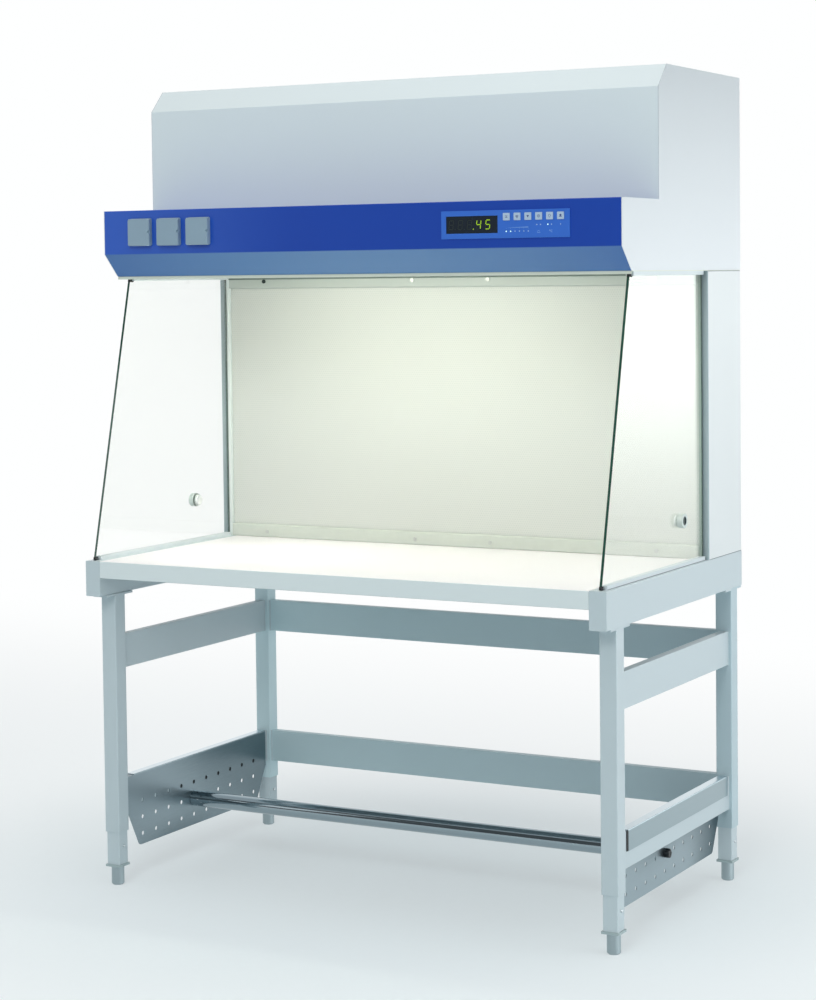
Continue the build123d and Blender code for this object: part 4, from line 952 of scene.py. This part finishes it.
# %% Star grips
def about_x(x, radius, centre_y, centre_z, sides):
    """Rings of points round an axis along X, one for each x, with its radius for each of the sides."""
    round_axis = radius[..., None] * circle(sides) + [centre_y, centre_z]
    x = np.broadcast_to(x[:, None, None], (len(x), sides, 1))
    return np.concatenate([x, round_axis], -1).reshape(-1, 3)


GRIP_SIDES = 60
GRIP_SHARE = np.array([0.0, 0.30, 0.36, 0.42, 0.55, 0.75, 0.9, 0.97, 1.0, 0.96])
GRIP_RADIUS = np.array([0.0050, 0.0052, 0.0069, 0.0090, 0.0097, 0.0097, 0.0094, 0.0088, 0.0075, 0.0046])
GRIP_WAVE = np.array([0.0, 0.0, 0.06, 0.13, 0.16, 0.16, 0.15, 0.12, 0.06, 0.0])


def star_grip(side):
    """Radius = profile(v) * (1 + wave * cos(5 u)), with the wave fading towards the collar and the middle."""
    knob = f"footrest_knob_{side}"
    low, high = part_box(knob)
    middle = (low + high) / 2
    inner, outer = (low.x, high.x) if side == "right" else (high.x, low.x)
    turn = np.linspace(0, 2 * math.pi, GRIP_SIDES, endpoint=False)
    radius = GRIP_RADIUS[:, None] * (1 + GRIP_WAVE[:, None] * np.cos(5 * turn))
    points = about_x(inner + (outer - inner) * GRIP_SHARE, radius, middle.y, middle.z, GRIP_SIDES)
    faces = joined(len(GRIP_SHARE), GRIP_SIDES)
    if side == "left":
        faces = [row[::-1] for row in faces]
    grip = make_piece(f"star_grip_{side}", points, faces, black_plastic, "black_plastic", knob, smooth=True)
    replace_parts(grip, knob)


for side in SIDES:
    star_grip(side)


# %% [markdown]
# ## Footrest sleeve
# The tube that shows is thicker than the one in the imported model, whose shape is never changed here. A thin
# sleeve over it, from plate to plate, gives it its visible width: a circle carried along the tube's axis.
# Rings close to either end keep the shading of the long side even up to its edge.

# %% Sleeve over the footrest tube
SLEEVE_RADIUS, SLEEVE_END, END_RING = 0.0190, 0.6302, 0.0006
rest_low, rest_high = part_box("footrest_tube")
rest_axis = (rest_low + rest_high) / 2
sleeve_path = np.empty((4, 3))
sleeve_path[:] = rest_axis
sleeve_path[:, 0] = -SLEEVE_END, END_RING - SLEEVE_END, SLEEVE_END - END_RING, SLEEVE_END
sleeve = swept(sleeve_path, SLEEVE_RADIUS * circle(64))
make_piece("footrest_sleeve", *sleeve, tube_steel, "polished_stainless", smooth=True)


# %% [markdown]
# ## Weld beads on the stand
# Each crossbar is welded to its legs. A weld is a thin bead with ripples, drawn here as a round profile whose
# radius swells a little at every ripple, laid into the corner between bar and leg and painted with them.

# %% Weld beads
FRONT_LEG_REAR = -0.2975
BAR_FACES = (0.633, 0.653)
LOWER_BAR, UPPER_BAR = (0.172, 0.252), (0.515, 0.595)


def weld(corner_x, corner_y, low_z, high_z, radius=0.0022, ripple=0.0031, sides=8):
    """Upright bead: ring radius = radius * (1 + 0.1 * sin(2 pi z / ripple)), centred on the corner line."""
    z = np.arange(low_z, high_z, ripple / 4)
    swell = radius * (1 + 0.1 * np.sin(2 * math.pi * z / ripple))
    across = swell[:, None, None] * circle(sides) + [corner_x, corner_y]
    z = np.broadcast_to(z[:, None, None], (len(z), sides, 1))
    return np.concatenate([across, z], -1).reshape(-1, 3), joined(len(z), sides)


welds = [weld(sign * x, y, *heights) for sign in (-1, 1) for heights in (LOWER_BAR, UPPER_BAR)
         for y in (FRONT_LEG_REAR, REAR_LEG_FRONT) for x in BAR_FACES]
for bar in ("rear_bar_upper", "rear_bar_lower"):
    low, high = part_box(bar)
    welds += [weld(x, y, low.z, high.z) for x in (low.x, high.x) for y in (low.y, high.y)]
make_piece("stand_welds", *gather(welds), stand_enamel, "stand_enamel", smooth=True)


# %% [markdown]
# ## Back of the housing
# The back panel is a sheet with a cut-out for the inlet, held by a row of pan-head screws along its head and
# its foot. The sheet is a grid of lines in X and Z whose middle cell is left out; each screw is a flat dome.

# %% Back panel and its screws
PANEL_SHEET, INLET_FLANGE = 0.0010, 0.0048
SCREW_RADIUS, SCREW_INSET, ROW_INSET = 0.0042, 0.0090, 0.02


def holed_sheet(low, high, hole_low, hole_high):
    """Box between low and high without the cell between hole_low and hole_high."""
    lines_x = np.array([low.x, hole_low.x, hole_high.x, high.x])
    lines_z = np.array([low.z, hole_low.z, hole_high.z, high.z])
    y, x, z = np.meshgrid([low.y, high.y], lines_x, lines_z, indexing="ij")
    faces = []
    for column, row in ((i, j) for i in range(3) for j in range(3) if (i, j) != (1, 1)):
        first = 4 * column + row
        cell = [first, first + 4, first + 5, first + 1]
        faces += [cell, [corner + 16 for corner in reversed(cell)]]
    for loop in ([0, 4, 8, 12, 13, 14, 15, 11, 7, 3, 2, 1], [5, 6, 10, 9]):
        faces += [[a, a + 16, b + 16, b] for a, b in zip(loop, loop[1:] + loop[:1])]
    return np.stack([x, y, z], -1).reshape(-1, 3), faces


back_low, back_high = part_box("back_panel")
inlet_low, inlet_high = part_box("mains_inlet")
sheet_high = Vector((back_high.x, back_low.y + PANEL_SHEET, back_high.z))
margin = Vector((INLET_FLANGE, 0.0, INLET_FLANGE))
sheet = holed_sheet(back_low, sheet_high, inlet_low + margin, inlet_high - margin)
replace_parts(make_piece("back_sheet", *sheet, white_enamel, "white_enamel"), "back_panel")
back_screws = []
for screw_x in np.linspace(back_low.x + ROW_INSET, back_high.x - ROW_INSET, 8):
    for screw_z in (back_low.z + SCREW_INSET, back_high.z - SCREW_INSET):
        points, faces = dome(-screw_x, screw_z, SCREW_RADIUS, back_high.y - sheet_high.y, -sheet_high.y)
        back_screws.append((points * [-1, -1, 1], faces))
make_piece("back_screws", *gather(back_screws), zinc, "zinc_steel", smooth=True)


# %% [markdown]
# ## A guard over the air intake
# Under the opening in the top lies a grid of bright wires, so that nothing falls on the filter. Both layers
# are wires carried along straight paths, and a frame wire runs round them.

# %% Intake guard
GUARD_HALF_X, GUARD_LOW_Y, GUARD_HIGH_Y, GUARD_Z = 0.2565, -0.0065, 0.3065, 1.8862
WIRE_RADIUS, WIRE_SPACING, FRAME_RADIUS, FRAME_BEND = 0.0011, 0.0200, 0.0018, 0.008
wire_ring = WIRE_RADIUS * circle(6)
upper_z = GUARD_Z + 2 * WIRE_RADIUS
guard_wires = [swept([[x, GUARD_LOW_Y, GUARD_Z], [x, GUARD_HIGH_Y, GUARD_Z]], wire_ring)
               for x in np.arange(-GUARD_HALF_X + WIRE_SPACING / 2, GUARD_HALF_X, WIRE_SPACING)]
guard_wires += [swept([[-GUARD_HALF_X, y, upper_z], [GUARD_HALF_X, y, upper_z]], wire_ring)
                for y in np.arange(GUARD_LOW_Y + WIRE_SPACING / 2, GUARD_HIGH_Y, WIRE_SPACING)]
guard_middle = (0.0, (GUARD_LOW_Y + GUARD_HIGH_Y) / 2)
guard_half = (GUARD_HALF_X, (GUARD_HIGH_Y - GUARD_LOW_Y) / 2)
frame_path = np.insert(soft_rectangle(guard_middle, guard_half, FRAME_BEND, steps=6), 2, GUARD_Z, axis=1)
guard_wires.append(swept(frame_path, FRAME_RADIUS * circle(8), closed=True))
make_piece("intake_guard", *gather(guard_wires), zinc, "zinc_steel", smooth=True)


# %% [markdown]
# ## Buttons in the inner legs
# A sprung steel button sits in the cross hole of each inner leg. It is a short cylinder with a domed end,
# turned about the X axis.

# %% Leg buttons
BUTTON_RADIUS, BUTTON_Z, BUTTON_SIDES = 0.0029, 0.093, 18


def leg_button(corner):
    """Profile (distance from the middle, radius) turned about X through the cross hole."""
    low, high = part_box(f"inner_leg_{corner}")
    middle = (low + high) / 2
    dome_x = (high.x - low.x) / 2 - 0.0004 + 0.0010 * quarter(5)[:, 1]
    dome_r = BUTTON_RADIUS * quarter(5)[:, 0].clip(0.05)
    x = middle.x + np.concatenate([-dome_x[::-1], dome_x])
    radius = np.concatenate([dome_r[::-1], dome_r])[:, None]
    points = about_x(x, radius, middle.y, BUTTON_Z, BUTTON_SIDES)
    make_piece(f"leg_button_{corner}", points, joined(len(x), BUTTON_SIDES), anodised, "zinc_steel",
               f"leg_slide_{corner}", smooth=True)


for corner in CORNERS:
    leg_button(corner)


# %% [markdown]
# ## Floor and backdrop
# The floor turns up into the backdrop in one smooth curve, so no horizon shows. Seen directly it is paler
# than it would be by its own light alone, and further from the object it fades to white.

# %% Stage
def sweep_surface():
    """Floor, a quarter circle of radius r, then a wall: (y, z) along the profile, carried across X."""
    radius, start, bend_at, top, half_width = 3.0, -14.0, 3.5, 12.0, 16.0
    bend = np.array([bend_at, radius]) + radius * quarter(24)[:, ::-1] * [1, -1]
    profile = np.concatenate([[[start, 0.0]], bend, [[bend_at + radius, top]]])
    points = np.concatenate([np.insert(profile, 0, x, axis=1) for x in (-half_width, half_width)])
    step = np.arange(len(profile) - 1)
    faces = np.stack([step, step + len(profile), step + len(profile) + 1, step + 1], 1)
    return points, faces.tolist()


def stage_paper(name):
    """Matt pale paper. For the camera and mirrors it is mixed with white light, more so far away."""
    finish = Finish(name)
    paper = finish.node("BsdfPrincipled", {}, {"Roughness": 0.9, "Base Color": finish.blend(
        tint(226, 241, 245), tint(223, 238, 242), finish.noise(40.0, 2.0))})
    across, along = finish.axis("X"), finish.axis("Y")
    reach = (across * across + along * along).math("SQRT")
    around = finish.ramp(reach, 0.45, 1.7, 0.39, 0.71)
    behind = finish.ramp(along, 0.2, 3.7)
    share = finish.ray("Camera", "Glossy", "Transmission") * (1 - (1 - around) * (1 - behind))
    white = finish.node("Emission", {}, {"Color": tint(254, 255, 255), "Strength": 1.0})
    return finish.close(finish.node("MixShader", {}, {0: share, 1: paper, 2: white}))


new_object("studio_sweep", *sweep_surface(), stage_paper("stage_paper"), smooth=True)


# %% [markdown]
# A white card stands behind and to the right, where the right pane mirrors it. Only mirrored and refracted
# rays see it. It fades towards its foot, so the lower part of the pane stays clear.

# %% Card for the right pane
def card_glow(name):
    """Light whose strength rises smoothly with height, over nothing at all."""
    finish = Finish(name)
    rise = finish.ramp(finish.axis("Z"), 0.42, 1.45)
    glow = finish.node("Emission", {}, {"Color": tint(253, 255, 255), "Strength": 2.9})
    clear = finish.node("BsdfTransparent")
    return finish.close(finish.node("MixShader", {}, {0: rise, 1: clear, 2: glow}))


CARD_LEFT, CARD_RIGHT, CARD_FOOT, CARD_HEAD, CARD_Y = 1.35, 3.1, 0.55, 2.4, 3.0
card_points = [[CARD_LEFT, CARD_Y, CARD_FOOT], [CARD_RIGHT, CARD_Y, CARD_FOOT],
               [CARD_RIGHT, CARD_Y, CARD_HEAD], [CARD_LEFT, CARD_Y, CARD_HEAD]]
card = new_object("reflector_card", card_points, [[0, 1, 2, 3]], card_glow("reflector_card"))
card.visible_camera = card.visible_diffuse = card.visible_shadow = False


# %% [markdown]
# ## Lamps, world and camera
# A strong lamp in front lights the worktop and the front, one on the right makes the side of the housing
# brighter than its front, and weaker ones hang above and stand on the left. Two small ones under the ceiling
# help the tube. The world fills the rest.

# %% Lights
def soft_lamp(name, place, aim, size, watts, shade, spread=180.0):
    """A rectangular lamp at a place, turned towards a point; `spread` is the width of its beam in degrees."""
    data = bpy.data.lights.new(name, "AREA")
    data.shape = "RECTANGLE"
    data.size, data.size_y = size
    data.energy = watts
    data.spread = math.radians(spread)
    data.color = shade[:3]
    lamp = bpy.data.objects.new(name, data)
    lamp.location = place
    lamp.rotation_euler = (Vector(aim) - Vector(place)).to_track_quat("-Z", "Y").to_euler()
    lamp.visible_camera = False
    bpy.context.scene.collection.objects.link(lamp)


for lamp_row in (
        ("right_softbox", (3.7, 0.05, 0.75), (0.66, 0, 0.95), (2.0, 1.4), 38.5, tint(255, 254, 254)),
        ("left_softbox", (-3.4, -3.6, 1.9), (-0.5, -0.1, 1), (1.6, 1.6), 8.0, tint(255, 254, 254)),
        ("top_softbox", (0.5, -1, 4.6), (0, 0, 1), (4, 3), 42.0, tint(255, 255, 255)),
        ("front_softbox", (1.2, -6.4, 5), (0, 0, 1), (2.5, 2.5), 146.0, tint(250, 255, 254)),
        ("chamber_glow", (-0.07, -0.165, 1.4392), (-0.04, 0.2, 1.36), (0.85, 0.05), 1.82,
         tint(255, 252, 240)),
        ("worktop_glow", (-0.4, -0.165, 1.4392), (-0.4, -0.12, 0.78), (0.35, 0.05), 0.2,
         tint(255, 253, 246), 60)):
    soft_lamp(*lamp_row)

DIM_ROOM, FILL, OVERHEAD = 0.13, 0.41, 0.7


def studio_world(name):
    """Fill for plain rays; white for the eye and through glass; for mirrors white behind and dim in front."""
    sky = Finish(name, bpy.data.worlds, "OutputWorld")
    mirrored = sky.ramp(sky.axis("Y", "Generated"), -0.2, 0.3, DIM_ROOM, 1.0, "LINEAR")
    overhead = sky.ramp(sky.axis("Z", "Generated"), 0.62, 0.70, 0.0, OVERHEAD, "LINEAR")
    plain, glossy = sky.ray("Camera", "Transmission"), sky.ray("Glossy")
    strength = plain + (1 - plain) * (glossy * mirrored.math("MAXIMUM", overhead) + (1 - glossy) * FILL)
    shade = sky.blend(tint(240, 247, 251), tint(254, 255, 255), plain)
    return sky.close(sky.node("Background", {}, {"Color": shade, "Strength": strength}))


bpy.context.scene.world = studio_world("studio_world")


# %% [markdown]
# The camera stands a little above the worktop, to the right of the bench, and looks slightly down.

# %% Camera
def studio_camera(name):
    """Turned by yaw about Z, pitched down, and rolled by a fraction of a degree."""
    yaw, pitch, roll = (math.radians(value) for value in (28.229, -2.749, -0.629))
    ahead = Vector((-math.sin(yaw) * math.cos(pitch), math.cos(yaw) * math.cos(pitch), math.sin(pitch)))
    flat = Vector((math.cos(yaw), math.sin(yaw), 0.0))
    upright = flat.cross(ahead)
    right = flat * math.cos(roll) + upright * math.sin(roll)
    up = upright * math.cos(roll) - flat * math.sin(roll)
    data = bpy.data.cameras.new(name)
    data.sensor_width, data.lens = 36.0, 82.83
    data.shift_x, data.shift_y = -0.0297, -0.1134
    data.clip_end = 100.0
    camera = bpy.data.objects.new(name, data)
    turn = Matrix((right, up, -ahead)).transposed().to_4x4()
    camera.matrix_world = Matrix.Translation((2.5991, -4.7219, 1.4359)) @ turn
    bpy.context.scene.collection.objects.link(camera)
    return camera


bpy.context.scene.camera = studio_camera("studio_camera")
bpy.context.scene.view_settings.view_transform = "Standard"
print("camera at", tuple(round(value, 3) for value in bpy.context.scene.camera.location))
